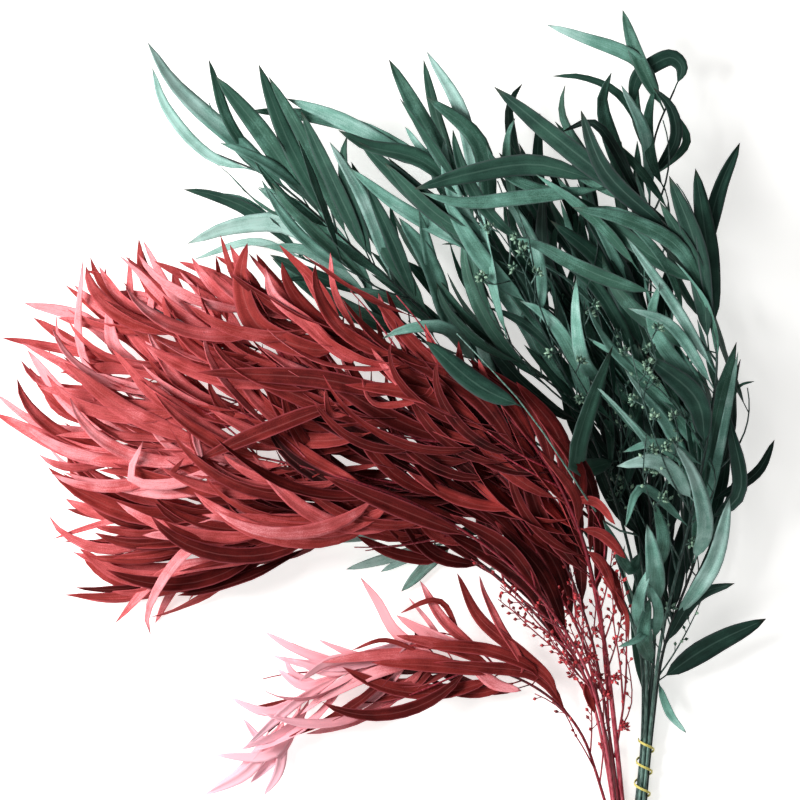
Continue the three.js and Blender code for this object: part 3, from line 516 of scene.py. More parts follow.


# leaves placed one by one: width, tone in hundredths at the root and at the tip, height of the tip, then the
# places that the blade passes on its way out from the nearest wood, the last one its tip
ownLeaves = {"red_stem_1": [
    (10, 50, 60, 108, (-35, 88), (-51, 130), (-82, 162)),
    (7, 45, 50, 88, (-91, 107), (-105, 137), (-133, 154)),
    (8, 50, 60, 80, (-101, 110), (-128, 136), (-163, 150)),
    (6, 30, 40, 100, (-85, 108), (-116, 135), (-129, 170)),
    (18, 50, 55, 116, (-43, 80), (-98, 98), (-112, 135), (-107, 163)),
    (5, 60, 70, 112, (-60, 108), (-83, 128), (-106, 155)),
    (11, 60, 85, 122, (-23, 72), (-62, 102), (-86, 122), (-93, 144)),
    (6, 60, 90, 112, (-20, 95), (-38, 125), (-42, 156)),
    (5, 60, 70, 108, (-40, 98), (-52, 120), (-65, 142)),
    (4, 50, 60, 105, (-30, 95), (-46, 122), (-59, 141)), (7, 60, 85, 125, (30, 40), (8, 58), (-10, 81)),
    (7, 25, 20, 118, (30, 60), (14, 95), (2, 126)),
    (6, 60, 70, 126, (34, 44), (-4, 36), (-12, 42), (-17, 57)),
    (15, 30, 35, 112, (13, 50), (-60, 58), (-147, 62)), (9, 70, 80, 128, (160, -60), (150, -35), (122, 0)),
    (8, 60, 70, 112, (150, -36), (167, -40), (182, -58)),
    (9, 60, 60, 100, (158, -60), (172, -66), (191, -85)),
    (8, 50, 60, 86, (162, -80), (172, -88), (183, -112)),
    (10, 45, 50, 80, (160, -76), (180, -100), (190, -132)),
    (4, 65, 70, 84, (178, -100), (192, -128), (194, -152)), (6, 70, 85, 128, (90, 40), (80, 55), (74, 72)),
    (14, 40, 50, 120, (150, -45), (138, 10), (104, 54)), (15, 30, 40, 124, (110, 0), (70, 45), (10, 75)),
    (14, 55, 60, 126, (90, 15), (40, 40), (-30, 52)), (12, 45, 50, 122, (60, 35), (15, 62), (-45, 105)),
    (13, 30, 35, 96, (172, -120), (170, -60), (144, -2)),
    (12, 35, 40, 106, (168, -90), (164, -30), (128, 28)),
    (14, 30, 30, 104, (160, -80), (142, -26), (92, 18)),
    (12, 55, 62, 116, (156, -60), (152, -14), (116, 34)),
    (14, 35, 40, 120, (140, -24), (118, 30), (66, 72)), (13, 50, 55, 124, (126, -4), (92, 42), (30, 82)),
], "red_stem_2": [
    (9, 45, 50, 84, (-123, 88), (-143, 128), (-182, 150)),
    (6, 40, 40, 60, (-187, 114), (-190, 133), (-202, 149)),
    (7, 50, 60, 62, (-167, 106), (-190, 122), (-219, 126)),
    (8, 55, 60, 88, (-107, 80), (-126, 111), (-155, 132)),
    (8, 30, 30, 76, (-167, 96), (-190, 135), (-195, 168)),
    (8, 60, 95, 80, (-130, 95), (-165, 120), (-191, 166)),
    (10, 85, 90, 84, (-100, 84), (-147, 110), (-163, 118)),
    (4, 80, 85, 88, (-133, 100), (-147, 124), (-162, 142)),
    (6, 35, 40, 92, (-120, 92), (-128, 125), (-133, 154)),
    (10, 70, 85, 116, (-20, 44), (-67, 62), (-98, 82)), (6, 60, 70, 112, (-25, 34), (-42, 30), (-46, 49)),
    (14, 28, 34, 106, (-35, 34), (-91, 16), (-147, -8)), (15, 35, 45, 104, (20, 20), (-60, 40), (-140, 80)),
    (14, 30, 30, 84, (162, -130), (152, -72), (116, -18)),
    (13, 40, 40, 92, (150, -108), (130, -52), (84, -4)), (12, 25, 30, 90, (140, -88), (110, -38), (58, 2)),
    (14, 35, 35, 98, (124, -58), (88, -8), (32, 28)),
], "red_stem_3": [
    (11, 55, 90, 36, (-203, 70), (-240, 105), (-290, 118)),
    (11, 50, 55, 52, (-171, 59), (-210, 94), (-262, 106)),
    (12, 50, 50, 60, (-147, 50), (-202, 65), (-259, 62)),
    (10, 50, 30, 62, (-175, 58), (-205, 100), (-222, 137), (-239, 144)),
    (11, 70, 75, 66, (-190, 60), (-214, 82), (-221, 114)),
    (8, 50, 50, 70, (-172, 66), (-200, 110), (-203, 154)),
    (8, 55, 65, 74, (-150, 56), (-186, 85), (-182, 141)),
    (8, 40, 30, 50, (-205, 68), (-255, 80), (-307, 90)),
    (4, 50, 50, 60, (-215, 74), (-260, 92), (-262, 107)),
    (13, 60, 60, 74, (-130, 36), (-178, 30), (-191, 44)),
    (12, 75, 80, 76, (-130, 46), (-195, 48), (-231, 62)),
    (9, 60, 85, 98, (-110, 42), (-148, 18), (-143, -12)),
    (9, 65, 65, 30, (172, -184), (164, -194), (170, -213)),
    (14, 30, 30, 70, (155, -140), (136, -90), (98, -42)),
    (13, 45, 45, 66, (140, -118), (112, -75), (68, -44)),
    (12, 30, 30, 76, (118, -88), (84, -50), (32, -28)),
], "red_stem_4": [
    (12, 50, 55, 70, (-163, 6), (-216, 36), (-275, 50)),
    (12, 45, 50, 80, (-123, -2), (-174, 30), (-234, 38)),
    (14, 50, 55, 70, (-99, -5), (-162, -19), (-227, -16)),
    (7, 70, 75, 60, (-205, 22), (-243, 84), (-241, 151)),
    (9, 50, 55, 62, (-180, 16), (-235, 56), (-290, 86)),
    (14, 70, 75, 64, (-170, 8), (-240, 30), (-285, 80)),
    (6, 35, 35, 48, (-215, 14), (-264, 34), (-277, 64)),
    (8, 55, 60, 40, (-212, 14), (-275, 20), (-313, 45)),
    (16, 60, 65, 70, (-130, 0), (-230, -4), (-312, 30)),
    (15, 48, 50, 90, (-135, 6), (-205, 32), (-253, 70)),
    (9, 80, 90, 94, (-110, -8), (-165, -26), (-200, -22), (-190, 8)),
    (14, 40, 45, 84, (-60, -18), (-140, -30), (-215, -10)),
    (13, 25, 30, 92, (150, -148), (126, -98), (88, -56)),
    (12, 40, 40, 98, (130, -124), (100, -78), (52, -50)),
], "red_stem_5": [
    (12, 45, 50, 34, (-115, -44), (-163, -76), (-219, -88)),
    (6, 90, 95, 40, (-180, -45), (-259, -10), (-271, 4)),
    (16, 35, 40, 58, (-99, -46), (-190, -54), (-240, -36), (-269, -14)),
    (10, 50, 55, 62, (-140, -42), (-205, -36), (-239, -14)),
    (9, 35, 35, 96, (-90, -36), (-150, -36), (-170, -24), (-158, -6)),
    (10, 60, 65, 36, (-140, -52), (-218, -80), (-258, -68), (-270, -54)),
    (6, 60, 60, 34, (-160, -50), (-220, -58), (-267, -72)),
    (9, 88, 95, 56, (-100, -44), (-165, -88), (-190, -132), (-187, -148)),
    (12, 85, 90, 66, (-95, -46), (-155, -66), (-193, -68)),
    (9, 70, 75, 54, (70, -78), (40, -68), (19, -40)), (18, 38, 40, 60, (110, -100), (86, -74), (77, -32)),
    (13, 30, 30, 50, (145, -144), (116, -108), (80, -82)),
    (14, 35, 40, 54, (125, -118), (95, -92), (50, -66)),
], "red_stem_6": [
    (9, 40, 40, 0.6, (-172, -104), (-212, -121), (-254, -120)),
    (7, 60, 70, 1, (-147, -98), (-172, -115), (-187, -142)),
    (14, 50, 50, 30, (-140, -100), (-212, -102), (-246, -80)),
    (10, 35, 35, 20, (-130, -98), (-205, -118), (-259, -118)),
    (11, 65, 75, 34, (-95, -84), (-175, -100), (-217, -140)),
    (5, 70, 75, 30, (-110, -92), (-138, -98), (-158, -122)),
    (12, 30, 30, 50, (80, -94), (40, -84), (5, -42)), (10, 30, 30, 56, (85, -96), (42, -62), (41, -40)),
    (9, 35, 35, 44, (55, -84), (29, -80), (-3, -56)), (10, 30, 35, 30, (42, -88), (8, -84), (-22, -70)),
    (8, 60, 70, 40, (10, -60), (-18, -64), (-46, -60)),
    (16, 35, 35, 40, (150, -158), (118, -105), (80, -60)),
    (11, 28, 25, 34, (150, -162), (122, -120), (95, -101)),
    (10, 72, 70, 38, (146, -160), (120, -112), (102, -110)),
], "red_stem_7": [
    (8, 85, 98, 1, (-94, -230), (-114, -260), (-143, -280)),
    (9, 85, 98, 4, (-67, -206), (-82, -243), (-109, -272)),
    (11, 40, 40, 34, (148, -207), (134, -186), (112, -166), (77, -136), (59, -100)),
    (7, 70, 90, 38, (112, -176), (92, -140), (80, -114), (77, -102)),
    (11, 35, 40, 30, (152, -218), (125, -184), (80, -176), (40, -172)),
    (9, 50, 90, 32, (85, -170), (48, -138), (29, -106)),
    (5, 45, 50, 36, (60, -160), (47, -124), (36, -122), (13, -132)),
    (4, 80, 90, 28, (55, -164), (40, -145), (20, -120)),
    (11, 75, 98, 24, (50, -164), (10, -148), (-4, -124), (-19, -104)),
    (12, 85, 95, 30, (77, -168), (40, -150), (10, -134)),
    (9, 70, 95, 22, (-20, -172), (-60, -166), (-97, -148)),
    (6, 70, 80, 26, (0, -170), (-30, -164), (-53, -154)),
    (4, 40, 50, 34, (40, -166), (0, -154), (-26, -162)),
    (9, 65, 75, 30, (0, -174), (-40, -170), (-69, -187)),
    (8, 75, 90, 18, (-30, -184), (-65, -192), (-87, -178)),
    (6, 85, 95, 18, (-50, -192), (-74, -182), (-81, -168)),
    (8, 90, 95, 14, (-55, -200), (-95, -213), (-125, -202)),
    (8, 90, 95, 10, (-65, -216), (-98, -237), (-115, -219)),
    (9, 85, 95, 12, (-62, -212), (-90, -247), (-138, -249)),
    (9, 90, 100, 8, (-75, -222), (-110, -262), (-147, -282)),
    (9, 90, 100, 6, (-76, -222), (-86, -262), (-98, -282)),
    (8, 60, 80, 16, (20, -174), (-5, -198), (-33, -217)),
    (9, 90, 100, 12, (16, -176), (-18, -204), (-43, -218)),
    (14, 25, 30, 14, (45, -178), (15, -196), (-30, -206)),
    (8, 30, 35, 20, (110, -188), (75, -198), (45, -192), (33, -178)),
    (11, 75, 80, 30, (70, -174), (90, -190), (111, -195)),
    (12, 40, 50, 34, (125, -182), (85, -163), (20, -158)),
    (12, 35, 45, 32, (100, -180), (50, -176), (-10, -172)),
    (11, 45, 70, 30, (70, -174), (10, -166), (-50, -172)),
    (10, 50, 85, 26, (40, -172), (-10, -182), (-55, -205)),
    (9, 60, 95, 22, (20, -172), (-30, -187), (-68, -215)),
    (10, 50, 60, 36, (90, -176), (52, -160), (10, -150)),
    (8, 70, 90, 28, (-30, -186), (-70, -204), (-112, -240)),
    (8, 60, 80, 24, (-10, -174), (-45, -180), (-75, -170)),
], "green_stem_1": [
    (15, 35, 40, 66, (37, 106), (1, 166), (-26, 230)),
    (17, 35, 98, 62, (-67, 210), (-118, 246), (-168, 292), (-189, 326)),
    (10, 70, 85, 36, (-100, 226), (-140, 236), (-176, 276), (-187, 308)),
    (10, 30, 25, 64, (-92, 222), (-124, 262), (-140, 312)),
    (16, 30, 25, 70, (-59, 196), (-95, 250), (-134, 298)),
    (15, 30, 25, 66, (-36, 172), (-78, 250), (-100, 308)),
    (12, 35, 30, 70, (-28, 166), (-62, 245), (-92, 298)),
    (13, 28, 25, 74, (-10, 150), (-36, 205), (-66, 270)),
    (12, 70, 80, 78, (5, 136), (-14, 195), (-43, 245)), (12, 25, 25, 72, (30, 112), (8, 165), (-14, 212)),
    (16, 60, 66, 76, (55, 88), (35, 150), (12, 185)), (12, 60, 60, 80, (50, 94), (35, 160), (28, 190)),
    (12, 60, 75, 124, (75, 66, 90), (45, 98, 118), (14, 95, 124), (-1, 88, 124)),
    (14, 25, 30, 36, (104, 38), (76, 82), (44, 128)), (14, 15, 15, 30, (116, 22), (98, 70), (84, 118)),
    (14, 20, 25, 40, (60, 84), (48, 120), (18, 152)),
], "green_stem_2": [
    (15, 40, 50, 16, (29, 88), (-34, 115), (-91, 155)), (10, 50, 60, 34, (-7, 120), (-28, 160), (-55, 196)),
    (8, 45, 55, 30, (-60, 154), (-112, 200), (-142, 207)),
    (12, 60, 70, 32, (-40, 140), (-78, 194), (-102, 211)),
    (16, 70, 80, 34, (-20, 132), (-75, 181), (-123, 180), (-159, 166)),
    (7, 90, 100, 26, (-60, 156), (-105, 168), (-153, 154)),
    (11, 25, 25, 38, (-18, 128), (-55, 140), (-92, 157)),
    (6, 20, 20, 36, (-10, 122), (-60, 138), (-85, 136)),
    (6, 85, 95, 30, (-40, 144), (-80, 189), (-117, 185)),
    (10, 60, 60, 36, (-8, 124), (-60, 160), (-98, 164)), (10, 80, 85, 62, (90, 40), (66, 108), (45, 118)),
    (9, 95, 97, 5, (40, -78), (13, -86), (-31, -98)), (8, 75, 85, 6, (50, -78), (25, -86), (-3, -100)),
    (11, 68, 80, 5, (58, -76), (37, -92), (14, -116)), (9, 30, 30, 12, (110, -70), (70, -66), (45, -76)),
    (8, 85, 95, 8, (126, -76), (107, -90), (85, -98)), (9, 95, 97, 6, (40, -66), (5, -68), (-49, -76)),
], "green_stem_3": [
    (13, 35, 40, 84, (93, 156), (43, 187), (1, 228)),
    (12, 60, 40, 50, (50, 222), (-20, 258), (-75, 270), (-110, 272)),
    (14, 60, 60, 62, (52, 220), (10, 238), (-35, 264), (-78, 281)),
    (15, 40, 40, 76, (72, 192), (36, 252), (4, 311)), (12, 70, 82, 70, (80, 184), (62, 268), (34, 318)),
    (15, 50, 50, 80, (90, 170), (75, 245), (34, 281)), (6, 60, 70, 66, (48, 228), (32, 238), (17, 258)),
    (16, 36, 36, 84, (72, 196), (30, 230), (-15, 242), (-36, 254)),
    (17, 33, 33, 82, (100, 142), (30, 200), (-20, 245)), (12, 66, 66, 74, (96, 148), (15, 192), (-28, 225)),
    (14, 68, 70, 82, (118, 116), (80, 150), (46, 204)), (15, 12, 15, 34, (146, 58), (118, 100), (96, 146)),
    (15, 15, 12, 36, (128, 92), (108, 140), (72, 176)),
], "green_stem_4": [
    (10, 30, 35, 30, (131, 184), (124, 228), (126, 272)),
    (11, 40, 45, 28, (141, 152), (121, 198), (93, 240)),
    (10, 50, 55, 34, (173, 64), (153, 107), (125, 144)),
    (6, 25, 25, 34, (124, 212), (105, 235), (101, 258)),
    (13, 60, 66, 50, (145, 130), (112, 155), (96, 197)),
    (15, 15, 15, 56, (160, 96), (130, 150), (127, 209)), (8, 70, 75, 60, (168, 76), (155, 155), (141, 200)),
    (12, 75, 85, 102, (178, 50), (157, 75, 90), (152, 105, 100), (152, 136)),
    (9, 66, 66, 60, (140, 150), (125, 125), (110, 108)),
    (17, 45, 50, 128, (190, -10), (150, -10, 110), (164, 46, 126), (179, 82)),
    (17, 30, 35, 134, (112, 34), (76, 50, 134), (33, 86)),
    (10, 60, 66, 100, (204, -80), (195, -95, 70), (173, -55)),
    (17, 8, 8, 14, (208, -80), (194, -20), (170, 60)), (16, 10, 8, 12, (212, -110), (208, -60), (188, 20)),
    (16, 8, 10, 16, (190, 0), (178, 60), (148, 126)), (15, 10, 8, 14, (200, -30), (196, 40), (180, 110)),
    (14, 12, 10, 18, (176, 56), (150, 90), (104, 130)),
], "green_stem_5": [
    (13, 40, 50, 110, (263, 84), (247, 143), (217, 196)),
    (17, 33, 33, 102, (212, 186), (150, 236), (87, 287)),
    (18, 42, 42, 106, (176, 212), (120, 226), (65, 218), (24, 206)),
    (12, 60, 66, 96, (180, 206), (110, 200), (60, 196), (30, 204)),
    (13, 28, 25, 100, (250, 138), (264, 205), (281, 243)),
    (18, 36, 36, 112, (262, 90), (254, 165), (245, 222)),
    (18, 33, 33, 116, (258, 80), (246, 160), (224, 216)),
    (13, 55, 62, 118, (256, 118), (232, 160), (190, 182), (148, 191)),
    (15, 25, 25, 110, (228, 168), (175, 220), (155, 268)),
    (8, 8, 8, 96, (206, 192), (165, 259), (141, 252)), (9, 78, 85, 118, (264, 60), (225, 120), (190, 168)),
    (9, 75, 80, 116, (262, 50), (225, 100), (192, 112)),
    (12, 66, 66, 112, (255, 40), (212, 100), (217, 132)), (19, 30, 30, 104, (256, 0), (248, 40), (207, 75)),
    (14, 85, 93, 116, (248, -40), (215, -8, 108), (183, -12)),
    (9, 72, 78, 112, (252, -10), (215, 6, 104), (188, -1)),
    (8, 70, 75, 110, (240, -60), (202, -30, 100), (190, -60)),
], "green_stem_6": [
    (7, 40, 50, 18, (230, 280), (245, 249), (222, 224)),
    (9, 50, 60, 0.6, (217, 232), (204, 271), (205, 312)),
    (12, 50, 100, 42, (224, 270), (206, 312), (160, 332), (131, 342)),
    (12, 55, 65, 42, (226, 274), (206, 312), (192, 354)),
    (14, 30, 40, 40, (236, 292), (240, 308), (232, 316), (218, 311), (204, 300), (199, 276)),
    (7, 35, 40, 50, (216, 236), (190, 284), (160, 299), (135, 300)),
    (10, 15, 12, 56, (216, 214), (234, 250), (230, 274), (216, 290)),
    (15, 55, 66, 60, (214, 180), (184, 240), (174, 280), (182, 302)),
    (11, 75, 88, 58, (214, 196), (210, 250), (190, 292)),
    (16, 40, 40, 70, (212, 70), (178, 145), (133, 183)),
    (13, 12, 12, 66, (212, 90), (184, 155), (161, 187)),
    (8, 68, 75, 72, (213, 100), (175, 172), (154, 212)),
    (11, 45, 45, 74, (212, 60), (165, 135), (125, 161)),
    (5, 75, 85, 126, (212, -10), (205, 8, 120), (183, 34, 126), (162, 55)),
    (16, 72, 86, 96, (218, -130), (214, -90, 84), (208, -58)),
    (12, 60, 62, 92, (217, -100), (222, -70, 80), (214, -40)),
    (12, 70, 80, 80, (216, -160), (203, -124, 66), (213, -90)),
    (9, 68, 75, 74, (218, -156), (219, -125, 62), (211, -106)),
    (13, 60, 66, 66, (217, -176), (207, -150, 56), (212, -118)),
    (7, 66, 75, 68, (217, -136), (203, -151, 64), (187, -157)),
    (16, 10, 10, 26, (214, -40), (226, 20), (222, 96)), (16, 8, 8, 22, (218, -90), (234, -40), (240, 34)),
    (15, 10, 8, 20, (218, -120), (226, -80), (222, -10)),
    (15, 12, 10, 30, (212, 40), (222, 90), (232, 156)), (14, 8, 8, 34, (212, 80), (200, 130), (206, 200)),
], "green_stem_7": [
    (17, 48, 52, 82, (246, -100), (266, 30), (280, 86)), (8, 75, 85, 84, (250, -92), (272, 20), (281, 78)),
    (14, 22, 20, 66, (258, -60), (285, -35), (275, 31)), (3, 50, 55, 52, (274, 30), (285, 51), (297, 55)),
    (9, 12, 10, 44, (262, -42), (300, -18), (314, 8)),
    (15, 88, 98, 88, (236, -138), (262, -90), (274, -38)),
    (11, 20, 20, 54, (228, -158), (252, -118), (281, -107)),
    (19, 22, 25, 26, (226, -188), (262, -160), (309, -137)),
    (7, 75, 85, 20, (222, -190), (232, -214), (245, -230)),
    (15, 80, 90, 104, (250, -92), (253, -55, 96), (243, -18, 102), (228, 7)),
    (15, 10, 10, 20, (236, -138), (238, -90), (256, -30)),
    (14, 8, 10, 24, (244, -110), (248, -50), (242, 20)),
    (14, 10, 8, 16, (228, -158), (224, -110), (236, -50)),
    (13, 12, 10, 28, (256, -66), (262, 0), (256, 70)),
]}
# side shoots placed one by one, from a place on the stem outwards
ownShoots = {
    "green_stem_2": [((171, -84, 16), (110, -68, 9), (40, -78, 6))],
    "green_stem_4": [((203, -70, 28), (176, -58, 76), (148, -20, 122), (109, 36, 132), (57, 92, 130))],
}
# thin twigs placed one by one: umbels, single buds, thickness, then the places it passes
budTwigs = {"red_stem_1": [
    (0, 9, 1.2, (187, -250, 17), (191, -224, 26), (194, -196, 40), (194, -154, 60), (190, -113, 84),
     (187, -97, 92)),
    (0, 10, 1, (193, -209, 32), (191, -187, 46), (188, -166, 62), (183, -140, 78), (181, -113, 92)),
    (0, 5, 0.7, (187, -236, 18), (200, -208, 22), (198, -178, 34), (191, -154, 44)),
], "red_stem_2": [
    (0, 12, 1.1, (182, -228, 22), (180, -195, 34), (176, -164, 52), (174, -134, 70), (170, -113, 82),
     (161, -98, 88)),
    (0, 9, 0.9, (178, -200, 30), (171, -176, 44), (160, -150, 58), (152, -126, 70), (150, -104, 80)),
], "red_stem_4": [
    (0, 7, 1.2, (169, -200, 34), (157, -172, 40), (150, -162, 42), (126, -142, 46), (105, -119, 50),
     (93, -110, 52)),
    (0, 8, 1, (151, -163, 42), (137, -142, 52), (130, -126, 60), (123, -111, 66), (114, -94, 72),
     (107, -84, 76)),
], "red_stem_5": [
    (0, 6, 0.8, (160, -186, 22), (148, -168, 30), (146, -146, 40), (140, -124, 50)),
    (0, 7, 0.9, (140, -142, 31), (118, -126, 36), (96, -108, 40), (84, -98, 42), (70, -88, 42)),
], "red_stem_7": [
    (0, 6, 0.7, (170, -258, 11), (162, -243, 14), (154, -230, 17), (148, -216, 20), (136, -205, 22),
     (122, -198, 23)),
], "green_stem_3": [
    (3, 0, 0.8, (139, 74, 62), (118, 128, 84), (96, 166, 100), (80, 184, 106)),
    (3, 0, 0.8, (122, 104, 66), (112, 140, 88), (116, 164, 104), (108, 176, 108)),
    (2, 0, 0.7, (105, 136, 70), (84, 132, 88), (72, 140, 98)),
], "green_stem_4": [
    (3, 0, 0.8, (190, 0, 28), (160, 48, 80), (140, 78, 112), (130, 92, 118)),
    (3, 0, 0.8, (175, 60, 30), (160, 96, 78), (158, 118, 104)),
], "green_stem_5": [
    (5, 4, 0.9, (246, -52, 62), (226, -20, 98), (212, 12, 120), (200, 50, 128), (192, 88, 126)),
    (3, 4, 0.8, (238, -90, 50), (216, -50, 88), (204, -20, 112), (206, 14, 122)),
], "green_stem_6": [
    (4, 4, 0.8, (212, 20, 44), (206, 46, 92), (214, 74, 118), (204, 98, 120)),
    (3, 3, 0.8, (216, -60, 36), (224, -24, 84), (232, 10, 108), (226, 34, 116)),
]}


def stemWay(stem):
    x, z = bundle[stem["dye"]]
    tieEnds = (bundle["tieY"] - bundle["tieAlong"], bundle["tieY"] + bundle["tieAlong"])
    held = [(x, y, z) for y in (bundle["cutY"], *tieEnds)]
    if stem["dye"] == "green":
        held.append((bundle["topX"], bundle["topY"], bundle["topZ"]))
    held = [Vector((x + stem["slot"][0], y, z + stem["slot"][1])) for x, y, z in held]
    return way(held[:-2] + smoothed(held[-2:] + stem["route"]))


# leaves: lengths and widths in mm, the fold in degrees, the other turns and sweeps in radians
leafLook = {
    "petiole": 0.1, "widest": 16, "width": (0.078, 0.108), "thick": 0.35, "leastHalf": (0.6, 0.1),
    "growth": 0.5, "taper": 0.68, "full": 2.24, "lowest": (ground, 1.5), "grains": 40, "reach": 0.36,
    "red": (105, 165), "green": (95, 155), "shorterOut": (1.05, 0.8), "shorter": (1, 0.86, 0.72), "tipLow": 2,
    "fold": (4, 26), "wave": 1.2, "waves": 14, "hook": 10, "hooked": 0.5, "hookFrom": 0.72, "hookCurve": 12,
    "lean": (0.5, 1.5), "aside": (0, 0.42), "climb": (-0.32, 0.22), "roll": (-1.2, 1.2), "twist": (-0.8, 0.8),
    "sweep": {"red": (-0.1, 0.62), "green": (-0.5, 0.5)},
    "moreSweep": {"red": (0.2, 1), "green": (-0.5, 0.7)},
}
# the outlines of the two colours in plan, and closer ones for the further leaves
outlines = {"red": [
    (196, -95), (182, -50), (160, -12), (135, 30), (104, 54), (60, 90), (20, 112), (-40, 156), (-106, 156),
    (-130, 170), (-165, 150), (-194, 170), (-247, 150), (-296, 112), (-310, 92), (-314, 22), (-270, -16),
    (-268, -62), (-258, -122), (-190, -146), (-147, -122), (-98, -96), (-55, -76), (0, -64), (42, -52),
    (80, -90), (125, -136), (170, -190), (190, -150),
], "spray": [
    (150, -230), (128, -196), (92, -128), (52, -140), (-6, -100), (-30, -110), (-34, -150), (-94, -146),
    (-130, -204), (-136, -250), (-150, -286), (-60, -290), (0, -220), (70, -210), (130, -238),
], "green": [
    (282, 240), (266, 160), (282, 90), (290, 30), (314, 4), (286, -50), (272, -96), (310, -138),
    (246, -232), (224, -232), (200, -120), (170, -60), (130, 0), (60, 40), (0, 110), (-66, 126),
    (-160, 162), (-192, 262), (-190, 324), (-140, 308), (-98, 304), (-76, 284), (-36, 288), (4, 310),
    (36, 316), (84, 284), (132, 336), (192, 355), (240, 312), (252, 216),
], "redInner": [
    (196, -95), (182, -50), (160, -12), (135, 30), (104, 54), (60, 90), (20, 112), (-40, 148), (-106, 150),
    (-165, 146), (-194, 160), (-240, 146), (-288, 110), (-306, 60), (-306, 22), (-268, -16), (-262, -62),
    (-250, -112), (-190, -134), (-147, -112), (-98, -86), (-51, -68), (-17, -60), (6, -40), (43, -36),
    (75, -46), (84, -76), (121, -102), (140, -122), (160, -150), (186, -150),
], "greenInner": [
    (-171, 288), (-115, 264), (-67, 264), (-3, 240), (13, 280), (45, 256), (93, 240), (141, 224),
    (173, 240), (205, 224), (245, 192), (265, 152), (273, 88), (283, 0), (273, -88), (245, -136),
    (213, -184), (193, -88), (173, -16), (125, 40), (77, 88), (13, 112), (-43, 152), (-107, 184),
    (-147, 232),
], "sprayInner": [
    (140, -226), (128, -200), (92, -150), (52, -150), (-6, -130), (-34, -150), (-84, -156), (-118, -204),
    (-126, -250), (-140, -276), (-80, -280), (-20, -222), (70, -206), (120, -226),
]}


# a blade along a path: narrow petiole, widest at a third, folded along the midrib, its edges rippled
def addBlade(form, path, wide, roll, twist, seed, tone, faded, blank="leaf"):
    look = leafLook
    fold = math.tan(math.radians(pick(look["fold"], seed + 0.31)))
    swing = draw(seed + 0.33) * fullTurn

    def section(share, across):
        grown = clamp((share - look["petiole"]) / (1 - look["petiole"]))
        half = wide / 2 * grown ** look["growth"] * (1 - grown) ** look["taper"] * look["full"]
        half = max(half, between(*look["leastHalf"], share))
        ripple = math.sin(grown * look["waves"] + swing + across) * look["wave"] * grown * (1 - grown) * 2
        rise = abs(across) * half * fold + ripple * across * across
        return half, 0, roll + twist * max(share - look["petiole"], 0), rise

    grain, lowest = draw(seed + 0.41) * look["grains"], pick(look["lowest"], seed + 0.43)
    lay(form, shapes[blank], path, section, tone, faded, grain, lowest)


# a sickle: it leaves the wood one way, arrives another and may hook at the tip
def addLeaf(form, root, tip, out, end, wide, roll, twist, seed, tone, faded):
    look = leafLook
    reach = (tip - root).length
    blade = bezier(root, root + out * reach * look["reach"], tip - end * reach * look["reach"], tip)
    hook = look["hook"] * pick((-1, 1), seed + 0.35) if draw(seed + 0.37) < look["hooked"] else 0
    hookAway = Vector((-end.y, end.x, pick((-0.8, 0.8), seed + 0.39)))

    def path(share):
        return blade(share) + hookAway * hook * max(share - look["hookFrom"], 0) ** 2 * look["hookCurve"]

    addBlade(form, path, wide, roll, twist, seed, tone, faded)


# the share of a path that is nearest in plan to a place
def nearestShare(path, place):
    shares = [i / 100 for i in range(101)]
    return min(shares, key=lambda share: math.hypot(path(share).x - place[0], path(share).y - place[1]))


# near is how close to the wood a first place counts as the root, pale the tip's tone from which a leaf fades
ownLook = {
    "near": 9, "rise": 0.7, "roll": (-0.45, 0.45), "twist": (-0.4, 0.4), "shift": (-0.04, 0.04),
    "tones": (0.03, 0.97), "toneRise": 1.5, "pale": 0.5,
}


# a listed leaf, on the nearest wood of its stem
def ownLeaf(form, stem, woods, row, seed, faded):
    look = ownLook
    wide, toneRoot, toneTip, tipZ, *places = row
    toneRoot, toneTip = toneRoot / 100, toneTip / 100
    first = Vector((*places[0][:2], 0))
    roots = [wood(nearestShare(wood, first)) for wood in woods]
    gaps = [(root.xy - first.xy).length for root in roots]
    root = roots[gaps.index(min(gaps))]
    if min(gaps) < look["near"]:
        places = places[1:]
    spots = [root]
    for i, (x, y, *height) in enumerate(places):
        rise = ((i + 1) / len(places)) ** look["rise"]
        spots.append((x, y, height[0] if height else between(root.z, tipZ, rise)))
    roll, twist = pick(look["roll"], seed), pick(look["twist"], seed + 0.5)
    # a random shift, plus the stem's tone offset and the painted light and shade across the bunch
    shift = pick(look["shift"], seed + 0.6) + stemToneAndPaintedLight(stem, root.x)

    def tone(share):
        return clamp(between(toneRoot, toneTip, share ** look["toneRise"]) + shift, *look["tones"])

    addBlade(form, way(smoothed(spots)), wide, roll, twist, seed, tone,
             faded if toneTip > look["pale"] else None, "arch" if len(spots) > 4 else "leaf")


def turned(heading, angle):
    turn = heading.copy()
    turn.rotate(Quaternion((0, 0, 1), angle))
    return turn


# whether a place lies inside an outline in plan
def inside(spot, outline):
    crossings = 0
    for (x0, y0), (x1, y1) in zip(outline, outline[1:] + outline[:1]):
        if (y0 > spot.y) != (y1 > spot.y) and spot.x < x0 + (x1 - x0) * (spot.y - y0) / (y1 - y0):
            crossings += 1
    return crossings % 2 == 1


# two places among the crimson leaves: a gap where the board shows, and a hollow whose leaves get a painted
# shade
openPlace = {"x": (-30, 85), "y": (-100, -72)}
paintedShadePlace = {"x": (-50, 85), "y": (-36, 26), "paintedShade": 0.22}


def isIn(place, stem, spot):
    within = place["x"][0] < spot.x < place["x"][1] and place["y"][0] < spot.y < place["y"][1]
    return stem["dye"] == "red" and within


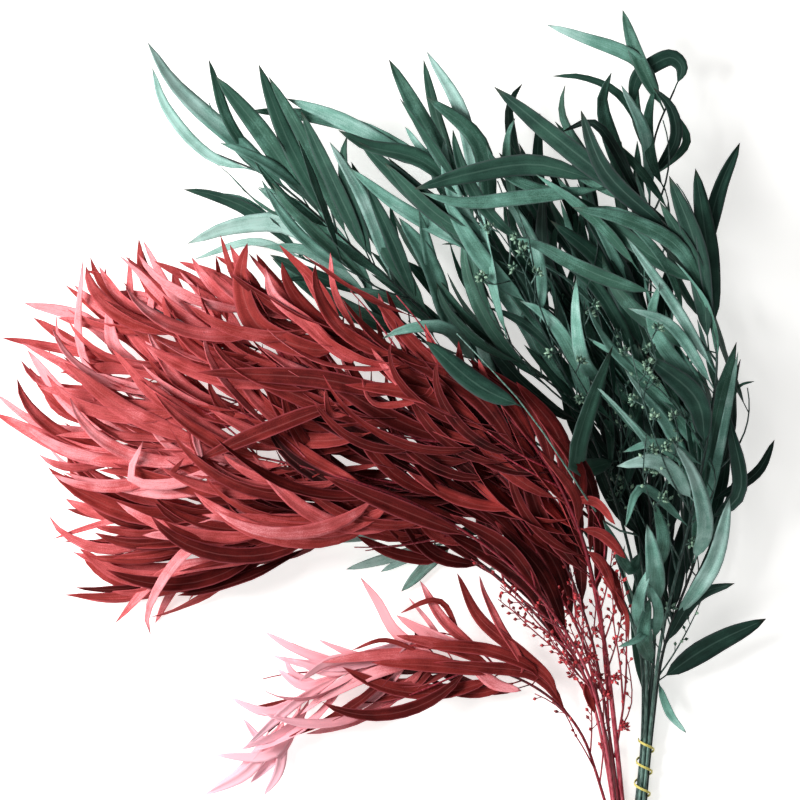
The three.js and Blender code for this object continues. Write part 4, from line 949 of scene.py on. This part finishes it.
# a leaf by the rule: it sweeps round to the way the bunch leans and ends inside the bunch's outline. A
# further leaf, which the solids don't have, sweeps more and stays inside with its middle too
def ruleLeaf(form, stem, line, share, side, seed, tone, faded, further):
    look = leafLook
    root = line(share)
    lean = Vector((*stem["lean"], 0)).normalized()
    heading = (aheadOn(line, share) + lean * pick(look["lean"], seed + 0.1)).normalized()
    heading = turned(heading, side * pick(look["aside"], seed + 0.2))
    heading.z = pick(look["climb"], seed + 0.3)
    heading.normalize()
    sweep = pick(look["moreSweep" if further else "sweep"][stem["dye"]], seed + 0.4)
    length = pick(look[stem["dye"]], seed + 0.5) * between(*look["shorterOut"], share)
    out, end = turned(heading, sweep), turned(heading, -sweep)
    outline = outlines[stem["outline"] + ("Inner" if further else "")]
    for shorter in look["shorter"]:
        tip = root + heading * length * shorter
        tip.z = max(tip.z, look["tipLow"])
        # the middle of the curve lies 3/8 of both reaches off the middle of its ends
        middle = (root + tip) / 2 + (out - end) * length * shorter * look["reach"] * 0.375
        if inside(tip, outline) and (not further or inside(middle, outline)):
            break
    else:
        return
    if isIn(openPlace, stem, middle):
        return
    # a leaf whose middle lies in the hollow has its tone lowered, a painted shade
    paintedShade = paintedShadePlace["paintedShade"] if isIn(paintedShadePlace, stem, middle) else 0
    wide = min(length * pick(look["width"], seed + 0.6), look["widest"])
    roll, twist = pick(look["roll"], seed + 0.7), pick(look["twist"], seed + 0.8)
    addLeaf(form, root, tip, out, end, wide, roll, twist, seed,
            lambda s: max(tone(s) - paintedShade, toneLook["tones"][0]), faded)


# twigs: half thicknesses in mm from start to end, and tones
woodLook = {
    "stemTip": 0.8, "stemTaper": 0.8, "barkTone": (0.2, 0.75),
    "darkerOut": 0.35, "darkFrom": 0.3, "darkOver": 0.2,
    "twigLength": (62, 100), "twig": (1, 0.5), "twigTone": 0.5, "shootTone": 0.78, "twigLow": 4,
    "twigTurn": (-0.6, 0.6), "along": 0.8, "across": 0.6, "out": 0.6, "lean": 0.4, "bend": 0.5,
    "twigLeaves": (0.97, 0.72, 0.45), "moreTwigs": 2, "moreFrom": 0.05,
}


def addTwig(form, stem, line, share, side, seed):
    look = woodLook
    root = line(share)
    along = aheadOn(line, share)
    across = leftOf(along, pick(look["twigTurn"], seed))
    out = (along * look["along"] + across * look["across"] * side).normalized()
    length = pick(look["twigLength"], seed + 0.2)
    tip = root + out * length * look["out"] + Vector((*stem["lean"], 0)) * length * look["lean"]
    tip.z = max(tip.z, look["twigLow"])
    path = bezier(root, root + out * length * look["bend"], tip)
    addRod(form, "twig", path, look["twig"], look["twigTone"])
    return path


# flower buds in small umbels, along thin sprigs and on listed twigs
budLook = {
    "count": 10, "length": (3.8, 5.4), "across": 2.5, "stalk": 9, "stalkLean": 0.4, "umbelLow": 8,
    "stalkThick": (0.7, 0.7), "umbelPedicel": (0.45, 0.45), "budPedicel": (0.35, 0.35),
    "pedicel": 2.4, "longer": (0.8, 2.4), "spread": (0.3, 1.3), "ringTurn": 2.4, "ringJog": 0.6,
    "umbelTones": (0.15, 0.85), "budTones": (0.1, 0.9), "capLighter": 0.25,
    "stalkTone": 0.55, "pedicelTone": 0.6,
    "twigEnd": 0.45, "umbelsAt": (0.4, 0.97), "umbelStep": 5, "budStep": 50,
    "sprigLength": (40, 76), "sprigThick": (0.85, 0.4), "sprigTurn": (-0.9, 0.9), "toRight": 0.4,
    "middleOut": 0.5, "tipOut": 0.35, "sprigLow": 6,
    "sprigBuds": 8, "sprigBud": (3.6, 5), "sprigAcross": 3, "budsFrom": 0.25, "budJog": 0.6,
}


def addBud(form, foot, towards, length, across, tone):
    turn = towards.to_track_quat("Y", "Z")
    layer = form.verts.layers.float["tone"]
    for vert in copied(form, shapes["bud"]):
        x, y, z = vert.co
        spot = foot + turn @ Vector((x * across, y * length, z * across))
        spot.z = max(spot.z, ground)
        vert.co = spot * mm
        vert[layer] = tone + budLook["capLighter"] * y


def addUmbel(woodForm, budForm, line, share, seed):
    look = budLook
    along = aheadOn(line, share)
    stalk = leftOf(along, draw(seed) * 2 * math.pi).lerp(along, look["stalkLean"]).normalized()
    root = line(share)
    hub = root + stalk * look["stalk"]
    hub.z = max(hub.z, look["umbelLow"])
    stalk = (hub - root).normalized()
    addRod(woodForm, "twig", bezier(root, hub), look["stalkThick"], look["stalkTone"])
    beside = stalk.orthogonal().normalized()
    for i in range(look["count"]):
        towards = beside.copy()
        towards.rotate(Quaternion(stalk, i * look["ringTurn"] + draw(seed + i) * look["ringJog"]))
        lean = between(*look["spread"], (i + 0.5) / look["count"])
        towards = (stalk * math.cos(lean) + towards * math.sin(lean)).normalized()
        foot = hub + towards * look["pedicel"]
        addRod(woodForm, "pedicel", bezier(hub, foot), look["umbelPedicel"], look["pedicelTone"])
        length = pick(look["length"], seed + i + 0.5)
        addBud(budForm, foot, towards, length, look["across"], pick(look["umbelTones"], seed + i))


# single buds on short stalks along a path
def addBuds(woodForm, budForm, path, count, seed):
    look = budLook
    for i in range(count):
        place = between(look["budsFrom"], 1, (i + draw(seed + i + 0.7) * look["budJog"]) / count)
        spot, side = frameOn(path, place, draw(seed + i) * fullTurn)[:2]
        towards = (side + aheadOn(path, place)).normalized()
        foot = spot + towards * look["pedicel"] * pick(look["longer"], seed + i + 0.3)
        addRod(woodForm, "pedicel", bezier(spot, foot), look["budPedicel"], look["pedicelTone"])
        length = pick(look["sprigBud"], seed + i + 0.5)
        addBud(budForm, foot, towards, length, look["sprigAcross"], pick(look["budTones"], seed + i + 0.9))


# a listed budded twig: umbels along its outer part, or single buds
def addBudTwig(woodForm, budForm, row, seed):
    look = budLook
    umbels, buds, thick, *places = row
    path = way(smoothed(places))
    addRod(woodForm, "twig", path, (thick, look["twigEnd"]), woodLook["twigTone"])
    for i in range(umbels):
        share = between(*look["umbelsAt"], (i + 0.5) / umbels)
        addUmbel(woodForm, budForm, path, share, seed + i * look["umbelStep"])
    addBuds(woodForm, budForm, path, buds, seed + look["budStep"])


# a thin sprig beside the stem with a bud every few millimetres on both sides
def addSprig(woodForm, budForm, line, share, seed):
    look = budLook
    root = line(share)
    along = aheadOn(line, share)
    across = leftOf(along, pick(look["sprigTurn"], seed))
    across *= -1 if draw(seed + 0.1) < look["toRight"] else 1
    length = pick(look["sprigLength"], seed + 0.2)
    middle = root + (along + across * look["middleOut"]) * length * 0.5
    tip = root + (along + across * look["tipOut"]) * length
    tip.z = max(tip.z, look["sprigLow"])
    path = bezier(root, middle, tip)
    addRod(woodForm, "twig", path, look["sprigThick"], look["stalkTone"])
    addBuds(woodForm, budForm, path, look["sprigBuds"], seed)


# how dark a leaf is: a painted shade on leaves low in the pile and a painted light on high ones, a painted
# light and shade across the bunch, lighter to the left, where the key lamp stands, a few pale, and most of
# them paler towards the tip
toneLook = {
    "start": (0.12, 0.58), "pale": 0.16, "paleBy": 0.38, "tip": (-0.05, 0.3), "tones": (0.04, 0.96),
    # height, middle and above: leaves low in the pile get a painted shade, leaves high in it a painted light
    "height": 0.0044, "middle": 62, "above": 25,
    # turn, left and right: a painted light and shade across the bunch, lighter to the left, where the key
    # lamp stands, and on the crimson leaves darker to the right
    "turn": {"red": -20, "green": 140}, "left": {"red": 0.0019, "green": 0.0013},
    "right": {"red": 0.0011, "green": -0.0003},
}
# the outer part of a stem whose dye has faded, and how much less at a leaf's root
fadeLook = {"from": 0.52, "over": 0.3, "root": 0.45, "onTwigs": 0.8, "darkTo": 0.75, "dark": 0.5}


# a stem's tone offset, on some stems a painted shade, plus a painted light and shade across the bunch:
# lighter left of the turn, where the key lamp stands, and on the crimson leaves darker right of it
def stemToneAndPaintedLight(stem, x):
    turn = toneLook["turn"][stem["dye"]]
    slope = toneLook["left" if x < turn else "right"][stem["dye"]]
    return stem.get("toneAndPaintedShadeBy", 0) + slope * (turn - x)


def leafTone(stem, seed, spot):
    look = toneLook
    # the stem's tone offset and the painted light and shade across the bunch
    start = pick(look["start"], seed + 0.9) + stemToneAndPaintedLight(stem, spot.x)
    # painted shade on leaves low in the pile, painted light on leaves high in it
    start += look["height"] * min(spot.z - look["middle"], look["above"])
    if draw(seed + 0.93) < look["pale"]:
        start += look["paleBy"] * (1 - start)
    rise = pick(look["tip"], seed + 0.95)
    return lambda share: clamp(start + rise * share * share, *look["tones"])


# where the draws of each kind of growth begin: so much a stem, so much a piece, and a start
seeds = {
    "twig": (100, 7, 3), "moreTwig": (100, 7, 63), "ownLeaf": (900, 3, 7), "leaf": (500, 3, 0),
    "moreLeaf": (500, 3, 200), "twigLeaf": (700, 3, 9), "umbel": (60, 4, 1), "sprig": (40, 9, 5),
    "budTwig": (80, 21, 3), "spacing": (50, 1, 0), "moreSpacing": (50, 1, 30),
}
spacing = {"jog": 0.8, "twigs": (0.86, 0.3), "moreTwigs": (0.9, 0.7), "twigStep": 40}


def seedFor(kind, n, i):
    byStem, byPiece, start = seeds[kind]
    return n * byStem + i * byPiece + start


def buildStem(n, stem):
    look = woodLook
    leaves, wood, buds = newForm(), newForm(), newForm()
    line, leafFrom = stemWay(stem), stem["leafFrom"]
    barkTone = pick(look["barkTone"], n + 0.6)

    def stemTone(share):
        return barkTone - look["darkerOut"] * clamp((share - look["darkFrom"]) / look["darkOver"])

    addRod(wood, "stem", line, (stem["thick"], look["stemTip"]), stemTone, look["stemTaper"])

    def fadedAt(place):
        amount = stem.get("faded", 0) * clamp((place - fadeLook["from"]) / fadeLook["over"])
        return (lambda share: amount * between(fadeLook["root"], 1, share)) if amount else None

    # leaves by the rule on alternate sides
    def add(seed, path, share, i, further):
        tone = leafTone(stem, seed, path(share))
        place = share if path is line else fadeLook["onTwigs"]
        dark = place < fadeLook["darkTo"] and tone(1) < fadeLook["dark"]
        faded = None if dark else fadedAt(place)
        ruleLeaf(leaves, stem, path, share, 1 if i % 2 else -1, seed, tone, faded, further)

    twigs = []
    for kind, count, side in (("twig", stem["twigs"], -1), ("moreTwig", look["moreTwigs"], 1)):
        end, jog = spacing[kind + "s"]
        for i in range(count):
            share = between(leafFrom, end, (i + jog) / count)
            twigs.append(addTwig(wood, stem, line, share, -side if i % 2 else side, seedFor(kind, n, i)))
    shoots = []
    for shoot in ownShoots.get(stem["name"], []):
        start = line(nearestShare(line, shoot[0]))
        shoots.append(way(smoothed([start, *shoot[1:]])))
        addRod(wood, "twig", shoots[-1], look["twig"], look["shootTone"])
    for i, row in enumerate(ownLeaves[stem["name"]]):
        faded = fadedAt(nearestShare(line, row[4]))
        ownLeaf(leaves, stem, [line] + twigs + shoots, row, seedFor("ownLeaf", n, i), faded)
    rows = (("leaf", stem["leaves"], leafFrom), ("moreLeaf", stem["more"], leafFrom + look["moreFrom"]))
    for kind, count, start in rows:
        further = kind == "moreLeaf"
        for i in range(count):
            jog = draw(seedFor("moreSpacing" if further else "spacing", n, i)) * spacing["jog"]
            add(seedFor(kind, n, i), line, between(start, 1, (i + jog) / count), i, further)
    for t, path in enumerate(twigs):
        for i, share in enumerate(look["twigLeaves"]):
            seed = seedFor("twigLeaf", n, i) + t * spacing["twigStep"]
            add(seed, path, share, i, t >= stem["twigs"] or i > 1)
    for i, share in enumerate(stem["buds"]):
        addUmbel(wood, buds, line, share, seedFor("umbel", n, i))
    for i, share in enumerate(stem.get("sprigs", [])):
        addSprig(wood, buds, line, share, seedFor("sprig", n, i))
    for i, row in enumerate(budTwigs.get(stem["name"], [])):
        addBudTwig(wood, buds, row, seedFor("budTwig", n, i))

    name, slotName, finish = stem["name"], stem["dye"] + "_leaf", finishes[stem["dye"]]
    finishPiece(leaves, name + "_leaves", name, slotName, finish["leaf"], leafLook["thick"])
    finishPiece(wood, name + "_wood", name, slotName, finish["bark"])
    if len(buds.verts):
        finishPiece(buds, name + "_buds", name, slotName, finish["bud"])
    else:
        buds.free()


for n, stem in enumerate(stems.values()):
    buildStem(n, stem)
    print("built", stem["name"])


# the band: round rubber thread, wound side by side round all the stems and loosely round the green ones
band = {
    "thread": 0.5, "sides": 8, "ringsATurn": 48, "step": 0.002,
    "windFrom": -235.4, "pitch": 18, "windTurns": 3.5, "radius": 6.8, "beside": 1.05,
    "tieWide": 26.7, "tieHigh": 13.3, "tieRound": 0.5, "tieTurns": 5,
    "knot": 1.7, "knotShape": (1.2, 1.5, 0.7), "knotAside": 3,
    "tails": [(7, -9), (-8, -11)], "tailRise": 5, "tailDrop": 0.5,
}


# the middle of the green stems at a place along the bunch
def greenMiddle(y):
    up = (y - bundle["tieY"]) / (bundle["topY"] - bundle["tieY"])
    x = between(bundle["green"][0], bundle["topX"], up)
    return Vector((x, y, between(bundle["green"][1], bundle["topZ"], up)))


def tieMiddle(y):
    middles = [(bundle[stem["dye"]][0] + stem["slot"][0], stem["thick"]) for stem in stems.values()]
    left = min(x - thick for x, thick in middles)
    right = max(x + thick for x, thick in middles)
    return Vector(((left + right) / 2, y, band["tieHigh"] / 2))


def roundOut(angle):
    return Vector((-math.cos(angle), 0, math.sin(angle))) * band["radius"]


# nearly a rectangle with round corners
def tieOut(angle):
    across, up = math.cos(angle), math.sin(angle)
    x = math.copysign(abs(across) ** band["tieRound"], across) * (band["tieWide"] / 2 - band["thread"])
    z = math.copysign(abs(up) ** band["tieRound"], up) * (band["tieHigh"] / 2 - band["thread"])
    return Vector((x, 0, z))


# thread wound towards the cut ends, its rings set square to the way it runs
def addWinding(form, middleAt, outAt, fromY, pitch, turns):
    rings = int(turns * band["ringsATurn"])
    spots = []
    for i in range(rings + 1):
        turn = i / band["ringsATurn"]
        spots.append(middleAt(fromY - turn * pitch) + outAt(turn * 2 * math.pi))
    path = way(spots)
    for vert in copied(form, makeRod("thread", band["sides"], rings)):
        share = clamp(vert.co.y)
        spot, ahead = path(share), aheadOn(path, share, band["step"])
        out = spot - middleAt(spot.y)
        out = (out - ahead * out.dot(ahead)).normalized()
        vert.co = (spot + (out * vert.co.x + out.cross(ahead) * vert.co.z) * band["thread"]) * mm


winding = newForm()
for beside in (0, band["beside"]):
    addWinding(winding, greenMiddle, roundOut, band["windFrom"] - beside, band["pitch"], band["windTurns"])
finishPiece(winding, "green_winding_thread", "green_winding", "yellow_band", finishes["band"])

tie = newForm()
tieFrom = bundle["tieY"] + bundle["tieAlong"] / 2 - band["thread"]
tiePitch = (bundle["tieAlong"] - 2 * band["thread"]) / band["tieTurns"]
addWinding(tie, tieMiddle, tieOut, tieFrom, tiePitch, band["tieTurns"])
knotAt = tieMiddle(bundle["tieY"]) + Vector((band["knotAside"], 0, band["tieHigh"] / 2))
first = len(tie.verts)
bmesh.ops.create_icosphere(tie, subdivisions=3, radius=band["knot"] * mm)
tie.verts.ensure_lookup_table()
bmesh.ops.scale(tie, vec=band["knotShape"], verts=tie.verts[first:])
bmesh.ops.translate(tie, vec=knotAt * mm, verts=tie.verts[first:])
for x, y in band["tails"]:
    middle, tip = Vector((x / 2, y / 2, band["tailRise"])), Vector((x, y, -band["tailDrop"]))
    tail = bezier(knotAt, knotAt + middle, knotAt + tip)
    addRod(tie, "twig", tail, (band["thread"], band["thread"]), 0.5)
finishPiece(tie, "bunch_tie_thread", "bunch_tie", "yellow_band", finishes["band"])
print("band wound")


# floor and light: a pale matt board with a tooth about 3 mm across, hardly seen, under soft studio lamps.
# Sizes and places here are in metres
studio = {
    "floor": 60, "board": "#f4f3f1", "rough": 0.9, "gloss": 0.2, "glow": 0.66,
    "tooth": 300, "bump": (0.1, 0.2), "sky": "#ffffff", "skyStrength": 0.14,
}
lamps = {
    "key": {"at": (-1.42, 0.28, 1.2), "size": 0.8, "power": 50},
    "fill": {"at": (-0.4, -1.6, 2.0), "size": 2.0, "power": 19},
}


def paleBoard(name):
    material, tree, shader = newMaterial(name)
    place = addNode(tree, "TexCoord")
    tooth = addNode(tree, "TexNoise", sockets={
        "Vector": place.outputs["Object"], "Scale": studio["tooth"], "Detail": 2})
    board = linear(studio["board"])
    values = {
        "Base Color": board, "Roughness": studio["rough"], "Specular IOR Level": studio["gloss"],
        "Emission Color": board, "Emission Strength": studio["glow"],
    }
    finishShader(tree, shader, values, None, tooth.outputs["Fac"], *studio["bump"])
    return material


floorForm = bmesh.new()
bmesh.ops.create_grid(floorForm, x_segments=1, y_segments=1, size=studio["floor"] / 2)
floorMesh = bpy.data.meshes.new("floor")
floorForm.to_mesh(floorMesh)
floorForm.free()
floorMesh.materials.append(paleBoard("matt white board"))
floor = bpy.data.objects.new("floor", floorMesh)
scene.collection.objects.link(floor)

for name, lamp in lamps.items():
    lampData = bpy.data.lights.new(name, "AREA")
    lampData.size = lamp["size"]
    lampData.energy = lamp["power"]
    lampObject = bpy.data.objects.new(name, lampData)
    lampObject.location = lamp["at"]
    lampObject.rotation_euler = (-Vector(lamp["at"])).to_track_quat("-Z", "Y").to_euler()
    scene.collection.objects.link(lampObject)

scene.world = bpy.data.worlds.new("studio")
scene.world.use_nodes = True
sky = scene.world.node_tree.nodes["Background"]
sky.inputs["Color"].default_value = linear(studio["sky"])
sky.inputs["Strength"].default_value = studio["skyStrength"]
scene.view_settings.view_transform = "Standard"
print("floor and lamps set")
